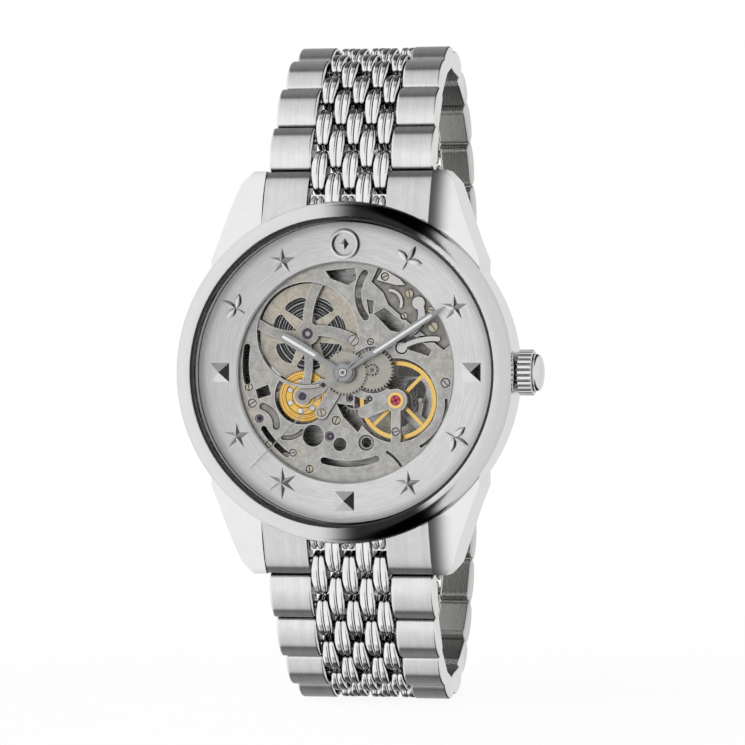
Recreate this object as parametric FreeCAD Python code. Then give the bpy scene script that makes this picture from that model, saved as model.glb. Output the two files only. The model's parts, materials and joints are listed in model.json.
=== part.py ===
"""Skeleton wristwatch on a steel link bracelet. Every piece is written as its own STEP file.

Bench frame, used while a piece is built: x points to 3 o'clock, y to 12 o'clock and z out of
the dial. z = 0 is the outer face of the case back, and the hands turn about x = y = 0.
Each piece is stood upright as it is written: 12 o'clock points up, the dial faces -Y.
"""

import FreeCAD, Part
import math
import os

# ---- driving dimensions, millimetres and degrees ----

# case
BEZEL_R = 20.0
CASE_R = 19.9
CASE_LOW, CASE_TOP = 1.4, 8.6
LUG_GAP = 20.0
LUG_TIP_Y = 23.7
RELIEF_R = 18.9
BACK_R = 18.0
CRYSTAL_R = 17.75
CRYSTAL_Z0, CRYSTAL_Z1 = 9.9, 10.95
BEZEL_BORE = 18.05
STEM_Z = 5.2
CROWN_R = 2.68
CROWN_FLUTES = 26

# dial
DIAL_OUT, DIAL_IN = 17.55, 12.85
DIAL_Z0, DIAL_Z1 = 8.2, 8.6
MARKER_R = 15.0
MARKER_H = 0.55

# hands, angles clockwise from 12 o'clock
HOUR_ANGLE, MINUTE_ANGLE, SECONDS_ANGLE = 300.0, 57.6, 224.5

# movement plates
PLATE_R = 13.9
PLATE_Z0, PLATE_Z1 = 6.9, 7.7
BRIDGE_Z0, BRIDGE_Z1 = 3.2, 3.9

# wheel centres
BARREL = (-4.7, 4.55)
BALANCE = (5.9, -3.25)
THIRD = (2.227, 2.227)
ESCAPE = (0.45, -3.0)
PALLET = (2.75, -3.1)
REVERSER = (-5.3, -2.8)
MINUTE_WHEEL = (3.2, 0.3)

# tooth counts
BARREL_TEETH, CENTRE_PINION = 77, 10
CENTRE_TEETH, THIRD_PINION = 80, 10
THIRD_TEETH, FOURTH_PINION = 75, 10
FOURTH_TEETH, ESCAPE_PINION = 84, 7
ESCAPE_TEETH = 20
CANNON_TEETH, MINUTE_TEETH = 12, 36
MINUTE_PINION, HOUR_TEETH = 10, 40
ROTOR_TEETH, REVERSER_TEETH = 60, 40

# bracelet
PITCH = 5.8
LINK_HALF = 2.83
LINK_LOW, LINK_TOP = -1.0, 1.85
LINK_ARC = 4.5
FILLET_LOW, FILLET_TOP = 0.9, 0.7
PIN_R, PIN_HOLE_R = 0.45, 0.47
PIN_OFFSET = 1.45
PIN_HALF_LENGTH = 6.6
COLUMN_PITCH = 1.85
ROD_WIDTH, ROD_END_WIDTH = 0.91, 0.64
ROD_FILLET = 0.28
BEAD_HALF = 2.65
BEAD_LOW, BEAD_TOP = -0.9, 1.75
BLOCK_INNER_X = 4.75
FIRST_PIN = (22.14, 4.9)
END_LINK_TILT = 20.0
ROW_TILTS = (24.0, 34.0, 50.0, 71.0, 98.0, 119.0, 139.0, 153.0, 161.0, 170.0)
ROW_WIDTHS = (19.7, 19.3, 18.8, 18.3, 17.9, 17.5, 17.2, 16.9, 16.8, 16.7)
SPRING_BAR = (-2.6, -0.05)

# clasp
CLASP_R = 77.7
CLASP_WIDTH = 16.4
CLASP_END = 8.87
BLADE_HALF_WIDTH = 3.4
HINGE_TWO = (-8.4, 0.1)
HINGE_THREE = (6.6, -0.3)


# ---- drawing helpers ----

def vec(x, y, z=0.0):
    return FreeCAD.Vector(x, y, z)


def polar(r, degrees, at=(0.0, 0.0)):
    a = math.radians(degrees)
    return (at[0] + r * math.cos(a), at[1] + r * math.sin(a))


def clock(r, degrees):
    """The point r from the hands' axis at an angle clockwise from 12 o'clock."""
    return polar(r, 90.0 - degrees)


def outline(steps, place):
    """A closed wire. A step is a point to reach by a line, or (mid point, end point) by an arc."""
    def end(step):
        return step[1] if isinstance(step[0], tuple) else step

    edges = []
    here = end(steps[-1])
    for step in steps:
        there = end(step)
        if isinstance(step[0], tuple):
            edges.append(Part.Arc(place(here), place(step[0]), place(there)).toShape())
        elif math.hypot(here[0] - there[0], here[1] - there[1]) > 1e-7:
            edges.append(Part.makeLine(place(here), place(there)))
        here = there
    return Part.Wire(edges)


def sheet(outer, holes=()):
    """A flat face with holes in it."""
    wires = [outer] + list(holes)
    if len(wires) == 1:
        return Part.Face(outer)
    return Part.makeFace(wires, "Part::FaceMakerBullseye")


def circle(r, z, at=(0.0, 0.0)):
    return Part.Wire([Part.makeCircle(r, vec(at[0], at[1], z))])


def disc(r, z0, z1, at=(0.0, 0.0)):
    return Part.makeCylinder(r, z1 - z0, vec(at[0], at[1], z0))


def ring(r_in, r_out, z0, z1, at=(0.0, 0.0)):
    face = sheet(circle(r_out, z0, at), [circle(r_in, z0, at)])
    return face.extrude(vec(0, 0, z1 - z0))


def prism(steps, z0, z1):
    """A plan outline, given as steps, made z0 to z1 tall."""
    wire = outline(steps, lambda p: vec(p[0], p[1], z0))
    return Part.Face(wire).extrude(vec(0, 0, z1 - z0))


def across(steps, x0, x1):
    """A side outline in (y, z), given as steps, made x0 to x1 wide."""
    wire = outline(steps, lambda p: vec(x0, p[0], p[1]))
    return Part.Face(wire).extrude(vec(x1 - x0, 0, 0))


def turned(steps, at=(0.0, 0.0)):
    """A profile of (radius, z) turned about the z axis through at."""
    wire = outline(steps, lambda p: vec(p[0], 0, p[1]))
    solid = Part.Face(wire).revolve(vec(0, 0, 0), vec(0, 0, 1), 360)
    solid.translate(vec(at[0], at[1], 0))
    return solid


def rod_x(r, x0, x1, y, z):
    return Part.makeCylinder(r, x1 - x0, vec(x0, y, z), vec(1, 0, 0))


def fused(shapes):
    if len(shapes) == 1:
        return shapes[0]
    return shapes[0].fuse(list(shapes[1:])).removeSplitter()


def cut(shape, tools):
    return shape.cut(list(tools))


def moved(shape, dx, dy, dz=0.0):
    copy = shape.copy()
    copy.translate(vec(dx, dy, dz))
    return copy


def turned_by(shape, degrees, at=(0.0, 0.0)):
    copy = shape.copy()
    copy.rotate(vec(at[0], at[1], 0), vec(0, 0, 1), degrees)
    return copy


def mirrored_x(shape):
    return shape.mirror(vec(0, 0, 0), vec(1, 0, 0))


def bar(start, end, width, z0, z1):
    """A straight arm with round ends."""
    dx, dy = end[0] - start[0], end[1] - start[1]
    length = math.hypot(dx, dy)
    ux, uy = dx / length, dy / length
    w = width / 2.0
    a = (start[0] - uy * w, start[1] + ux * w)
    b = (end[0] - uy * w, end[1] + ux * w)
    tip = (end[0] + ux * w, end[1] + uy * w)
    c = (end[0] + uy * w, end[1] - ux * w)
    d = (start[0] + uy * w, start[1] - ux * w)
    tail = (start[0] - ux * w, start[1] - uy * w)
    return prism([b, (tip, c), d, (tail, a)], z0, z1)


def curved_bar(start, mid, end, width, z0, z1):
    """An arm that follows the arc through three points, with round ends."""
    arc = Part.Arc(vec(start[0], start[1]), vec(mid[0], mid[1]), vec(end[0], end[1]))
    steps_left, steps_right = [], []
    count = 10
    first, last = arc.FirstParameter, arc.LastParameter
    for i in range(count + 1):
        p = arc.value(first + (last - first) * i / count)
        t = arc.tangent(first + (last - first) * i / count)[0]
        steps_left.append((p.x - t.y * width / 2, p.y + t.x * width / 2))
        steps_right.append((p.x + t.y * width / 2, p.y - t.x * width / 2))
    body = prism(steps_left + steps_right[::-1], z0, z1)
    ends = [disc(width / 2, z0, z1, start), disc(width / 2, z0, z1, end)]
    return fused([body] + ends)


# ---- wheels ----

def tooth_points(teeth, root_r, tip_r, at, turn):
    """The plan of a toothed rim. Each tooth is four points, narrower at the tip."""
    points = []
    step = 360.0 / teeth
    for i in range(teeth):
        middle = turn + i * step
        points.append(polar(root_r, middle - 0.29 * step, at))
        points.append(polar(tip_r, middle - 0.11 * step, at))
        points.append(polar(tip_r, middle + 0.11 * step, at))
        points.append(polar(root_r, middle + 0.29 * step, at))
    return points


def window(r0, r1, a0, a1, spoke, at, z):
    """The wire of the gap between two spokes."""
    d0 = math.degrees(math.asin(spoke / 2 / r0))
    d1 = math.degrees(math.asin(spoke / 2 / r1))
    middle = (a0 + a1) / 2
    steps = [
        polar(r1, a0 + d1, at),
        (polar(r1, middle, at), polar(r1, a1 - d1, at)),
        polar(r0, a1 - d0, at),
        (polar(r0, middle, at), polar(r0, a0 + d0, at)),
    ]
    return outline(steps, lambda p: vec(p[0], p[1], z))


def wheel(teeth, pitch_r, z0, z1, at, spokes=0, rim=0.35, hub=0.5, spoke=0.25, bore=0.0, turn=0.0):
    """A toothed wheel with spokes. Its module follows from the pitch radius and tooth count."""
    module = 2 * pitch_r / teeth
    tip, root = pitch_r + 0.9 * module, pitch_r - 1.2 * module
    points = tooth_points(teeth, root, tip, at, turn)
    outer = outline(points, lambda p: vec(p[0], p[1], z0))
    holes = []
    for i in range(spokes):
        a0 = 90 + 360.0 * i / spokes
        holes.append(window(hub, root - rim, a0, a0 + 360.0 / spokes, spoke, at, z0))
    if bore:
        holes.append(circle(bore, z0, at))
    return sheet(outer, holes).extrude(vec(0, 0, z1 - z0))


def mesh_turn(teeth, other_teeth, at, other_at, other_turn):
    """The turn that puts a gap of this wheel opposite a tooth of the other one."""
    to_other = math.degrees(math.atan2(other_at[1] - at[1], other_at[0] - at[0]))
    back = to_other + 180.0
    other_step = 360.0 / other_teeth
    offset = (back - other_turn) / other_step
    fraction = offset - math.floor(offset)
    step = 360.0 / teeth
    return to_other + step * (0.5 + fraction)


def spiral(r0, r1, turns, thickness, z0, z1, at, points_per_turn=14):
    """A flat coiled strip."""
    inner, outer = [], []
    count = int(turns * points_per_turn)
    for i in range(count + 1):
        angle = 360.0 * turns * i / count
        r = r0 + (r1 - r0) * i / count
        inner.append(vec(*polar(r - thickness / 2, angle, at), z0))
        outer.append(vec(*polar(r + thickness / 2, angle, at), z0))
    curve_in, curve_out = Part.BSplineCurve(), Part.BSplineCurve()
    curve_in.interpolate(inner)
    curve_out.interpolate(outer)
    edges = [
        curve_in.toShape(),
        Part.makeLine(inner[-1], outer[-1]),
        curve_out.toShape(),
        Part.makeLine(outer[0], inner[0]),
    ]
    return Part.Face(Part.Wire(edges)).extrude(vec(0, 0, z1 - z0))


def module_radius(distance, teeth, other_teeth):
    """Pitch radius of a wheel that meshes with another at a centre distance."""
    return distance * teeth / (teeth + other_teeth)


def span(a, b=(0.0, 0.0)):
    return math.hypot(a[0] - b[0], a[1] - b[1])


# ---- case ----

def lug_plan(side_x, side_y):
    """One lug seen from the dial: a chamfered tip that widens into the case."""
    inner_x = LUG_GAP / 2 - 1.0
    points = [(inner_x, 13.5), (inner_x, LUG_TIP_Y), (11.5, LUG_TIP_Y), (12.7, 22.3)]
    points += [(15.0, 15.7), (17.5, 9.4), (11.0, 8.0)]
    return [(side_x * x, side_y * y) for x, y in points]


def lug_side(side_y):
    """The lugs seen from the side: they slope down from the bezel towards the wrist."""
    steps = [
        (8.0, 8.6), (16.6, 8.6), ((20.5, 7.75), (23.75, 5.8)), (23.75, 2.3),
        ((23.3, 1.2), (22.2, 0.9)), (20.0, 0.95), (16.5, 1.4), (8.0, 1.4),
    ]
    out = []
    for step in steps:
        if isinstance(step[0], tuple):
            mid, end = step
            out.append(((side_y * mid[0], mid[1]), (side_y * end[0], end[1])))
        else:
            out.append((side_y * step[0], step[1]))
    return out


def case_middle():
    body = turned([
        (0.0, CASE_LOW), (18.9, CASE_LOW), (CASE_R, 2.6), (CASE_R, 8.1), (CASE_R - 0.35, CASE_TOP),
        (0.0, CASE_TOP),
    ])
    lugs = []
    for side_y in (1, -1):
        slab = across(lug_side(side_y), -16.0, 16.0)
        for side_x in (1, -1):
            lugs.append(prism(lug_plan(side_x, side_y), -1.0, 10.0).common(slab))
    body = body.fuse(lugs)
    gap = Part.makeBox(LUG_GAP, 60.0, 12.0, vec(-LUG_GAP / 2, -30.0, -1.0))
    gap = gap.cut(disc(RELIEF_R, -2.0, 12.0))
    inside = turned([
        (0.0, 0.0), (15.55, 0.0), (15.55, 2.6), (13.95, 2.6), (13.95, 7.4), (14.65, 7.4),
        (14.65, DIAL_Z0), (17.6, DIAL_Z0), (17.6, 9.5), (0.0, 9.5),
    ])
    stem_bore = rod_x(0.5, 12.0, 24.0, 0.0, STEM_Z)
    crown_seat = rod_x(1.75, 19.35, 24.0, 0.0, STEM_Z)
    body = cut(body, [gap, inside, stem_bore, crown_seat])
    tube = rod_x(1.15, 19.3, 20.5, 0.0, STEM_Z).cut(rod_x(0.5, 19.0, 21.0, 0.0, STEM_Z))
    body = body.fuse(tube)
    holes = []
    for side in (1, -1):
        y, z = chain_point(FIRST_PIN, END_LINK_TILT, SPRING_BAR[0], SPRING_BAR[1])
        holes.append(rod_x(0.45, -11.3, 11.3, side * y, z))
    return cut(body, holes)


def bezel():
    """A polished domed ring, with the ledge the crystal rests on."""
    return turned([
        (17.6, CASE_TOP), (17.6, CRYSTAL_Z0), (BEZEL_BORE, CRYSTAL_Z0), (BEZEL_BORE, 10.85),
        ((18.1, 10.97), (18.25, 11.0)), ((19.35, 10.62), (BEZEL_R, 9.3)),
        ((19.98, 8.95), (19.75, CASE_TOP)),
    ])


def crystal():
    return turned([
        (0.0, CRYSTAL_Z0), (CRYSTAL_R, CRYSTAL_Z0), (CRYSTAL_R, CRYSTAL_Z1 - 0.3),
        (CRYSTAL_R - 0.3, CRYSTAL_Z1), (0.0, CRYSTAL_Z1),
    ])


def case_back():
    """The screwed ring that carries the rear crystal, with six notches for the opening tool."""
    body = turned([
        (13.32, 0.0), (17.3, 0.0), (BACK_R, 0.5), (BACK_R, 1.35), (16.7, 1.35), (16.7, 0.95),
        (16.0, 0.95), (16.0, 1.35), (15.5, 1.35), (15.5, 2.4), (13.35, 2.4), (13.35, 1.4),
        (12.6, 1.4), (12.6, 0.92), (13.32, 0.92),
    ])
    notches = []
    for i in range(6):
        notch = Part.makeBox(1.6, 2.4, 0.45, vec(16.6, -1.2, -0.1))
        notches.append(turned_by(notch, 60 * i + 30))
    return cut(body, notches)


def gaskets():
    """Case back ring, crystal ring and crown ring."""
    back = ring(16.05, 16.65, 0.95, 1.4)
    front = ring(17.76, 18.04, 9.92, 10.6)
    crown_seal = rod_x(1.34, 20.55, 20.75, 0.0, STEM_Z)
    crown_seal = crown_seal.cut(rod_x(0.55, 20.0, 21.0, 0.0, STEM_Z))
    return [back, front, crown_seal]


def crown():
    """A fluted knob with a plain domed end."""
    grip_x0, grip_x1, end_x = 20.05, 21.9, 22.95
    step = 360.0 / CROWN_FLUTES
    points = []
    for i in range(CROWN_FLUTES):
        a = i * step
        points.append(polar(CROWN_R, a - 0.27 * step))
        points.append((polar(CROWN_R + 0.02, a), polar(CROWN_R, a + 0.27 * step)))
        points.append((polar(CROWN_R - 0.22, a + 0.5 * step), polar(CROWN_R, a + 0.73 * step)))
    flutes = [p for n, p in enumerate(points) if n % 3 != 0]
    grip = prism(flutes, grip_x0, grip_x1)
    profile = [
        (0.0, grip_x0), (CROWN_R - 0.25, grip_x0), (CROWN_R + 0.05, grip_x0 + 0.25),
        (CROWN_R + 0.05, grip_x1 - 0.2), (CROWN_R - 0.25, grip_x1 + 0.05), (0.0, grip_x1 + 0.05),
    ]
    grip = grip.common(turned(profile))
    dome = turned([
        (0.0, grip_x1 - 0.1), (2.2, grip_x1 - 0.1), (2.2, grip_x1 + 0.25),
        ((1.98, grip_x1 + 0.68), (1.5, grip_x1 + 0.9)), (0.9, end_x), (0.0, end_x),
    ])
    knob = fused([grip, dome])
    recess = disc(1.36, grip_x0 - 1, 20.75)
    stem_hole = disc(0.46, 20.0, 22.2)
    knob = cut(knob, [recess, stem_hole])
    knob.rotate(vec(0, 0, 0), vec(0, 1, 0), 90)
    knob.translate(vec(0, 0, STEM_Z))
    return knob


def winding_stem():
    """The stem, with the sliding clutch pinion on it."""
    stem = rod_x(0.45, 11.4, 22.15, 0.0, STEM_Z).fuse(rod_x(0.25, 8.9, 11.4, 0.0, STEM_Z))
    pinion = wheel(16, 0.72, 9.5, 10.9, (0.0, 0.0), bore=0.27)
    pinion.rotate(vec(0, 0, 0), vec(0, 1, 0), 90)
    pinion.translate(vec(0, 0, STEM_Z))
    return [stem.removeSplitter(), pinion]


# ---- dial ----

def dial_ring():
    return turned([
        (DIAL_IN, DIAL_Z0), (DIAL_OUT, DIAL_Z0), (DIAL_OUT, DIAL_Z1),
        (DIAL_IN + 0.18, DIAL_Z1), (DIAL_IN, DIAL_Z1 - 0.18),
    ])


def faceted(points, at, height, z0):
    """A solid whose facets run from a plan outline up to one point over its centre."""
    base = [vec(p[0], p[1], z0) for p in points]
    top = vec(at[0], at[1], z0 + height)
    faces = [Part.Face(Part.makePolygon(base + base[:1]))]
    for i, here in enumerate(base):
        there = base[(i + 1) % len(base)]
        faces.append(Part.Face(Part.makePolygon([here, there, top, here])))
    solid = Part.Solid(Part.Shell(faces))
    if solid.Volume < 0:
        solid.reverse()
    return solid


def star(at, tips, r_out, r_in, turn):
    points = []
    for i in range(tips):
        points.append(polar(r_out, turn + 360.0 * i / tips, at))
        points.append(polar(r_in, turn + 360.0 * (i + 0.5) / tips, at))
    return faceted(points, at, MARKER_H, DIAL_Z1)


def stud(at, side):
    """A square pyramid."""
    h = side / 2
    points = [(at[0] + x * h, at[1] + y * h) for x, y in ((1, 1), (-1, 1), (-1, -1), (1, -1))]
    return faceted(points, at, 0.75, DIAL_Z1)


def leaf(at, degrees):
    """A sprig of three pointed facets on a short stem, pointing away from the dial centre."""
    solids = []
    for turn, length in ((0, 1.75), (68, 1.35), (-68, 1.35)):
        a = degrees + turn
        foot = polar(0.12, a, at)
        middle = polar(0.12 + length * 0.5, a, at)
        tip = polar(0.12 + length, a, at)
        left = polar(0.34, a + 90, middle)
        right = polar(0.34, a - 90, middle)
        solids.append(faceted([foot, right, tip, left], middle, 0.4, DIAL_Z1))
    tail = polar(-1.2, degrees, at)
    solids.append(bar(tail, polar(0.06, degrees, at), 0.22, DIAL_Z1, DIAL_Z1 + 0.2))
    return solids


def hour_markers():
    solids = []
    for hour in (3, 6, 9):
        solids.append(stud(clock(MARKER_R, hour * 30), 2.28))
    for hour in (2, 5, 8, 11):
        solids.append(star(clock(MARKER_R, hour * 30), 5, 1.5, 0.6, 90))
    solids.append(star(clock(MARKER_R, 210), 6, 1.45, 0.72, 90))
    for hour in (1, 4, 10):
        solids += leaf(clock(MARKER_R, hour * 30), 90 - hour * 30)
    top = clock(MARKER_R, 0)
    solids.append(ring(1.28, 1.78, DIAL_Z1, DIAL_Z1 + 0.38, top))
    points = [polar(0.72, a, top) for a in (0, 90, 180, 270)]
    solids.append(faceted(points, top, 0.5, DIAL_Z1))
    return solids


# ---- hands ----

def hand(degrees, points, hub_r, hub_hole, z0, z1):
    """A hand drawn pointing up, then turned to its place on the dial."""
    left = [(-x, y) for x, y in reversed(points) if x > 0]
    blade = prism(points + left, z0, z1)
    hub = disc(hub_r, z0, z1)
    body = fused([blade, hub]).cut(disc(hub_hole, z0 - 1, z1 + 1))
    return turned_by(body, -degrees)


def hour_hand():
    points = [(0.33, 0.4), (0.3, 3.3), (0.52, 4.0), (0.62, 6.6), (0.5, 8.3), (0.0, 9.9)]
    return hand(HOUR_ANGLE, points, 1.3, 0.86, 8.92, 9.08)


def minute_hand():
    points = [(0.3, 0.4), (0.26, 3.8), (0.4, 4.6), (0.44, 10.8), (0.34, 12.6), (0.0, 14.3)]
    return hand(MINUTE_ANGLE, points, 1.12, 0.5, 9.32, 9.46)


def seconds_hand():
    points = [(0.14, -2.6), (0.09, 0.2), (0.045, 15.6), (0.0, 15.9)]
    return hand(SECONDS_ANGLE, points, 0.42, 0.13, 9.62, 9.72)


# ---- movement plates ----

JEWELS_FRONT = (
    (-4.7, 4.55, 0.67), (-5.3, -2.8, 0.5), (-2.8, -1.47, 0.3), (0.45, -3.0, 0.38),
    (2.75, -3.1, 0.34), (-1.97, -7.47, 0.5), (-10.4, -5.4, 0.42), (2.227, 2.227, 0.3),
)
SCREWS_FRONT = (
    (0.85, 3.75, 0.6), (-11.7, -1.7, 0.4), (-11.3, -3.6, 0.45), (-6.4, -9.4, 0.38),
    (-4.4, -11.3, 0.4), (11.8, -1.2, 0.5), (5.9, -6.9, 0.42), (-9.3, -8.4, 0.34),
    (2.9, 3.6, 0.34), (-1.2, -5.6, 0.45),
)
SCREWS_KEYLESS = (
    (4.6, 11.2, 0.45), (7.5, 9.2, 0.5), (6.9, 6.6, 0.38), (10.3, 5.3, 0.62), (10.0, 7.3, 0.38),
)
RAISED_SCREW, RAISED_Z = (-2.9, -4.7, 0.45), 7.95
SCREW_SEAT = PLATE_Z1 - 0.12
KEYLESS_FLOOR = PLATE_Z1 - 0.32
SETTING_PATH = ((8.6, 8.1), (8.9, 6.3), (7.6, 4.6))
YOKE_PATH = ((10.9, 3.9), (8.9, 3.8), (6.6, 2.9))
PILLARS = ((-11.9, 5.1), (-7.5, -10.2), (3.2, -12.0), (11.5, 4.6), (0.5, 12.2), (-12.3, -3.0))


def swirl_arms():
    """Four curved arms that cross the barrel opening and carry its jewel."""
    z0, z1 = PLATE_Z0, PLATE_Z1 - 0.15
    hub = disc(1.35, z0, z1, BARREL)
    arms = [
        curved_bar((-4.7, 5.2), (-4.35, 8.2), (-2.9, 11.2), 1.15, z0, z1),
        curved_bar((-5.3, 4.4), (-7.8, 4.5), (-10.9, 5.9), 1.1, z0, z1),
        curved_bar((-4.0, 4.9), (-1.6, 4.7), (0.85, 3.75), 1.25, z0, z1),
        curved_bar((-4.9, 3.8), (-4.55, 0.6), (-5.3, -2.8), 0.95, z0, z1),
    ]
    return [hub] + arms


def plate_recesses():
    """Shallow steps milled into the front plate, the largest under the keyless works."""
    floor, high = KEYLESS_FLOOR, PLATE_Z1 + 1
    shallow = PLATE_Z1 - 0.22
    return [
        prism([
            (3.0, 10.6), (3.9, 12.5), ((8.6, 9.9), (12.0, 5.2)), (12.6, 3.4), (11.6, 2.6),
            (7.8, 5.5), (5.0, 7.9), (4.4, 9.3),
        ], floor, high),
        curved_bar(*SETTING_PATH, 1.16, floor, high),
        curved_bar(*YOKE_PATH, 0.91, floor, high),
        disc(0.78, floor, high, YOKE_PATH[2]),
        curved_bar((-10.0, -4.0), (-9.0, -4.6), (-8.4, -6.3), 0.9, shallow, high),
        curved_bar((-7.6, -7.6), (-6.2, -7.5), (-5.3, -6.9), 0.6, shallow, high),
        curved_bar((4.9, -9.3), (6.0, -10.2), (6.7, -11.2), 0.35, shallow, high),
        curved_bar((11.9, -3.2), (11.2, -6.3), (8.9, -8.6), 0.35, shallow, high),
        disc(0.95, shallow, high, (2.38, -8.2)),
    ]


def main_plate():
    """The front plate. It is cut away over the barrel, winding wheel and balance."""
    plate = turned([
        (0.0, PLATE_Z0), (PLATE_R, PLATE_Z0), (PLATE_R, 7.4), (14.6, 7.4), (14.6, PLATE_Z1),
        (0.0, PLATE_Z1),
    ])
    low, high = PLATE_Z0 - 1, PLATE_Z1 + 1
    openings = [
        disc(6.05, low, high, BARREL),
        disc(4.95, low, high, BALANCE),
        disc(3.3, low, high, REVERSER).cut(disc(6.4, low, high, BARREL)),
        curved_bar((-11.9, 3.0), (-12.1, 1.0), (-11.9, -1.0), 0.8, low, high),
        curved_bar((-2.7, -10.3), (0.2, -10.7), (3.6, -10.1), 0.8, low, high),
        curved_bar((-9.9, -6.6), (-8.6, -8.3), (-7.1, -9.6), 0.7, low, high),
        curved_bar((2.2, 11.6), (1.4, 8.9), (2.3, 6.5), 0.85, low, high),
        prism([(-2.5, 11.9), (-1.9, 11.0), (0.2, 10.2), (1.2, 10.8), (1.1, 12.3)], low, high),
        prism([(2.4, 8.6), (3.3, 8.4), (3.2, 6.9), (2.7, 6.8)], low, high),
        prism([(3.3, 6.9), (4.6, 7.6), (7.1, 5.6), (6.7, 4.6), (5.2, 4.9)], low, high),
        prism([(5.3, 3.9), (7.6, 4.7), (10.2, 2.6), (9.8, 1.9), (7.3, 2.7)], low, high),
        disc(1.3, low, high, (-3.95, -7.4)),
        disc(0.8, low, high, (-0.76, -8.4)),
        disc(0.62, low, high, (2.38, -8.2)),
        prism([(-1.2, -3.6), (1.2, -3.9), (2.3, -5.6), (1.4, -7.0), (-0.4, -5.2)], low, high),
        prism([(-2.2, 2.0), (-1.0, 2.7), (-0.5, 1.6), (-1.5, 0.9)], low, high),
        prism([(-10.9, -2.0), (-9.4, -1.4), (-9.0, -2.6), (-10.6, -3.1)], low, high),
    ]
    plate = cut(plate, openings + plate_recesses())
    balance_arm = [
        disc(1.35, PLATE_Z0, PLATE_Z1, BALANCE),
        bar((5.9, -3.25), (1.6, -1.9), 2.0, PLATE_Z0, PLATE_Z1),
        bar((5.3, -3.4), (2.2, -4.6), 1.5, PLATE_Z0, PLATE_Z1),
        bar((5.9, -3.4), (5.9, -8.6), 1.1, PLATE_Z0, PLATE_Z1),
    ]
    centre_arms = [
        bar((0.0, 0.0), RAISED_SCREW[:2], 1.5, PLATE_Z0, PLATE_Z1),
        bar((-2.9, -1.5), (-5.3, -2.8), 1.5, PLATE_Z0, PLATE_Z1 - 0.15),
        disc(1.0, PLATE_Z0, PLATE_Z1 - 0.15, REVERSER),
        bar((0.9, 2.0), MINUTE_WHEEL, 1.3, PLATE_Z0, 7.55),
        bar(polar(1.6, 238.3), RAISED_SCREW[:2], 1.5, PLATE_Z1 - 0.1, RAISED_Z),
    ]
    plate = fused([plate] + swirl_arms() + balance_arm + centre_arms)
    holes = [disc(0.6, low, high), disc(0.95, low, high, BALANCE)]
    for x, y, r in JEWELS_FRONT:
        holes.append(disc(r + 0.01, low, high, (x, y)))
        holes.append(disc(r + 0.14, PLATE_Z1 - 0.2, high, (x, y)))
    for x, y, r in SCREWS_FRONT + SCREWS_KEYLESS:
        holes.append(disc(r * 0.5 + 0.01, low, high, (x, y)))
    for x, y, r in SCREWS_FRONT:
        holes.append(disc(r + 0.1, SCREW_SEAT, high, (x, y)))
    for x, y, r in SCREWS_KEYLESS:
        holes.append(disc(r + 0.1, KEYLESS_FLOOR, high, (x, y)))
    holes.append(disc(RAISED_SCREW[2] * 0.5 + 0.01, low, high, RAISED_SCREW[:2]))
    wheel_pocket = disc(2.75, 7.55, high, MINUTE_WHEEL)
    stud_keep = disc(0.3, 7.0, 7.95, MINUTE_WHEEL)
    plate = cut(plate, holes + [wheel_pocket])
    return fused([plate, stud_keep])


def movement_bridge():
    """The rear bridge, with pillars up to the front plate and the rotor's axle."""
    z0, z1 = BRIDGE_Z0, BRIDGE_Z1
    plate = disc(13.6, z0, z1)
    openings = [
        disc(5.3, z0 - 1, z1 + 1, BALANCE),
        prism([(5.0, -8.0), (9.0, -13.5), (14.0, -9.0), (10.5, -4.5)], z0 - 1, z1 + 1),
        disc(0.6, z0 - 1, z1 + 1, REVERSER),
        disc(1.2, z0 - 1, z1 + 1, BARREL),
        disc(0.45, z0 - 1, z1 + 1, THIRD),
        disc(0.4, z0 - 1, z1 + 1, ESCAPE),
        disc(0.3, z0 - 1, z1 + 1, PALLET),
        disc(0.3, 3.4, z1 + 1),
    ]
    for i in range(5):
        a = 70 + i * 26
        openings.append(curved_bar(polar(9.4, a), polar(9.4, a + 8), polar(9.4, a + 16), 1.3,
                                   z0 - 1, z1 + 1))
    plate = cut(plate, openings)
    posts = [disc(0.8, z1, PLATE_Z0, at) for at in PILLARS]
    axle = disc(0.8, 2.0, z0)
    return fused([plate, axle] + posts)


def balance_cock():
    """The arm behind the balance, with its foot on a pillar from the front plate."""
    z0, z1 = 3.3, 4.0
    foot = (10.6, -7.0)
    arm = fused([
        disc(1.15, z0, z1, BALANCE),
        curved_bar(BALANCE, (8.0, -5.9), foot, 1.5, z0, z1),
        disc(1.0, z0, PLATE_Z0, foot),
    ])
    stud_post = disc(0.22, z1, 4.9, (8.25, -3.25))
    link = bar((8.25, -3.25), (7.9, -5.6), 0.5, z0, z1)
    body = fused([arm, stud_post, link])
    return cut(body, [disc(0.35, z0 - 1, z1 + 1, BALANCE)])


# ---- going train ----

CENTRE_R = module_radius(span(BARREL), CENTRE_PINION, BARREL_TEETH)
BARREL_R = module_radius(span(BARREL), BARREL_TEETH, CENTRE_PINION)
CENTRE_WHEEL_R = module_radius(span(THIRD), CENTRE_TEETH, THIRD_PINION)
THIRD_PINION_R = module_radius(span(THIRD), THIRD_PINION, CENTRE_TEETH)
THIRD_WHEEL_R = module_radius(span(THIRD), THIRD_TEETH, FOURTH_PINION)
FOURTH_PINION_R = module_radius(span(THIRD), FOURTH_PINION, THIRD_TEETH)
FOURTH_WHEEL_R = module_radius(span(ESCAPE), FOURTH_TEETH, ESCAPE_PINION)
ESCAPE_PINION_R = module_radius(span(ESCAPE), ESCAPE_PINION, FOURTH_TEETH)
CANNON_R = module_radius(span(MINUTE_WHEEL), CANNON_TEETH, MINUTE_TEETH)
MINUTE_R = module_radius(span(MINUTE_WHEEL), MINUTE_TEETH, CANNON_TEETH)
MINUTE_PINION_R = module_radius(span(MINUTE_WHEEL), MINUTE_PINION, HOUR_TEETH)
HOUR_R = module_radius(span(MINUTE_WHEEL), HOUR_TEETH, MINUTE_PINION)
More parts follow.
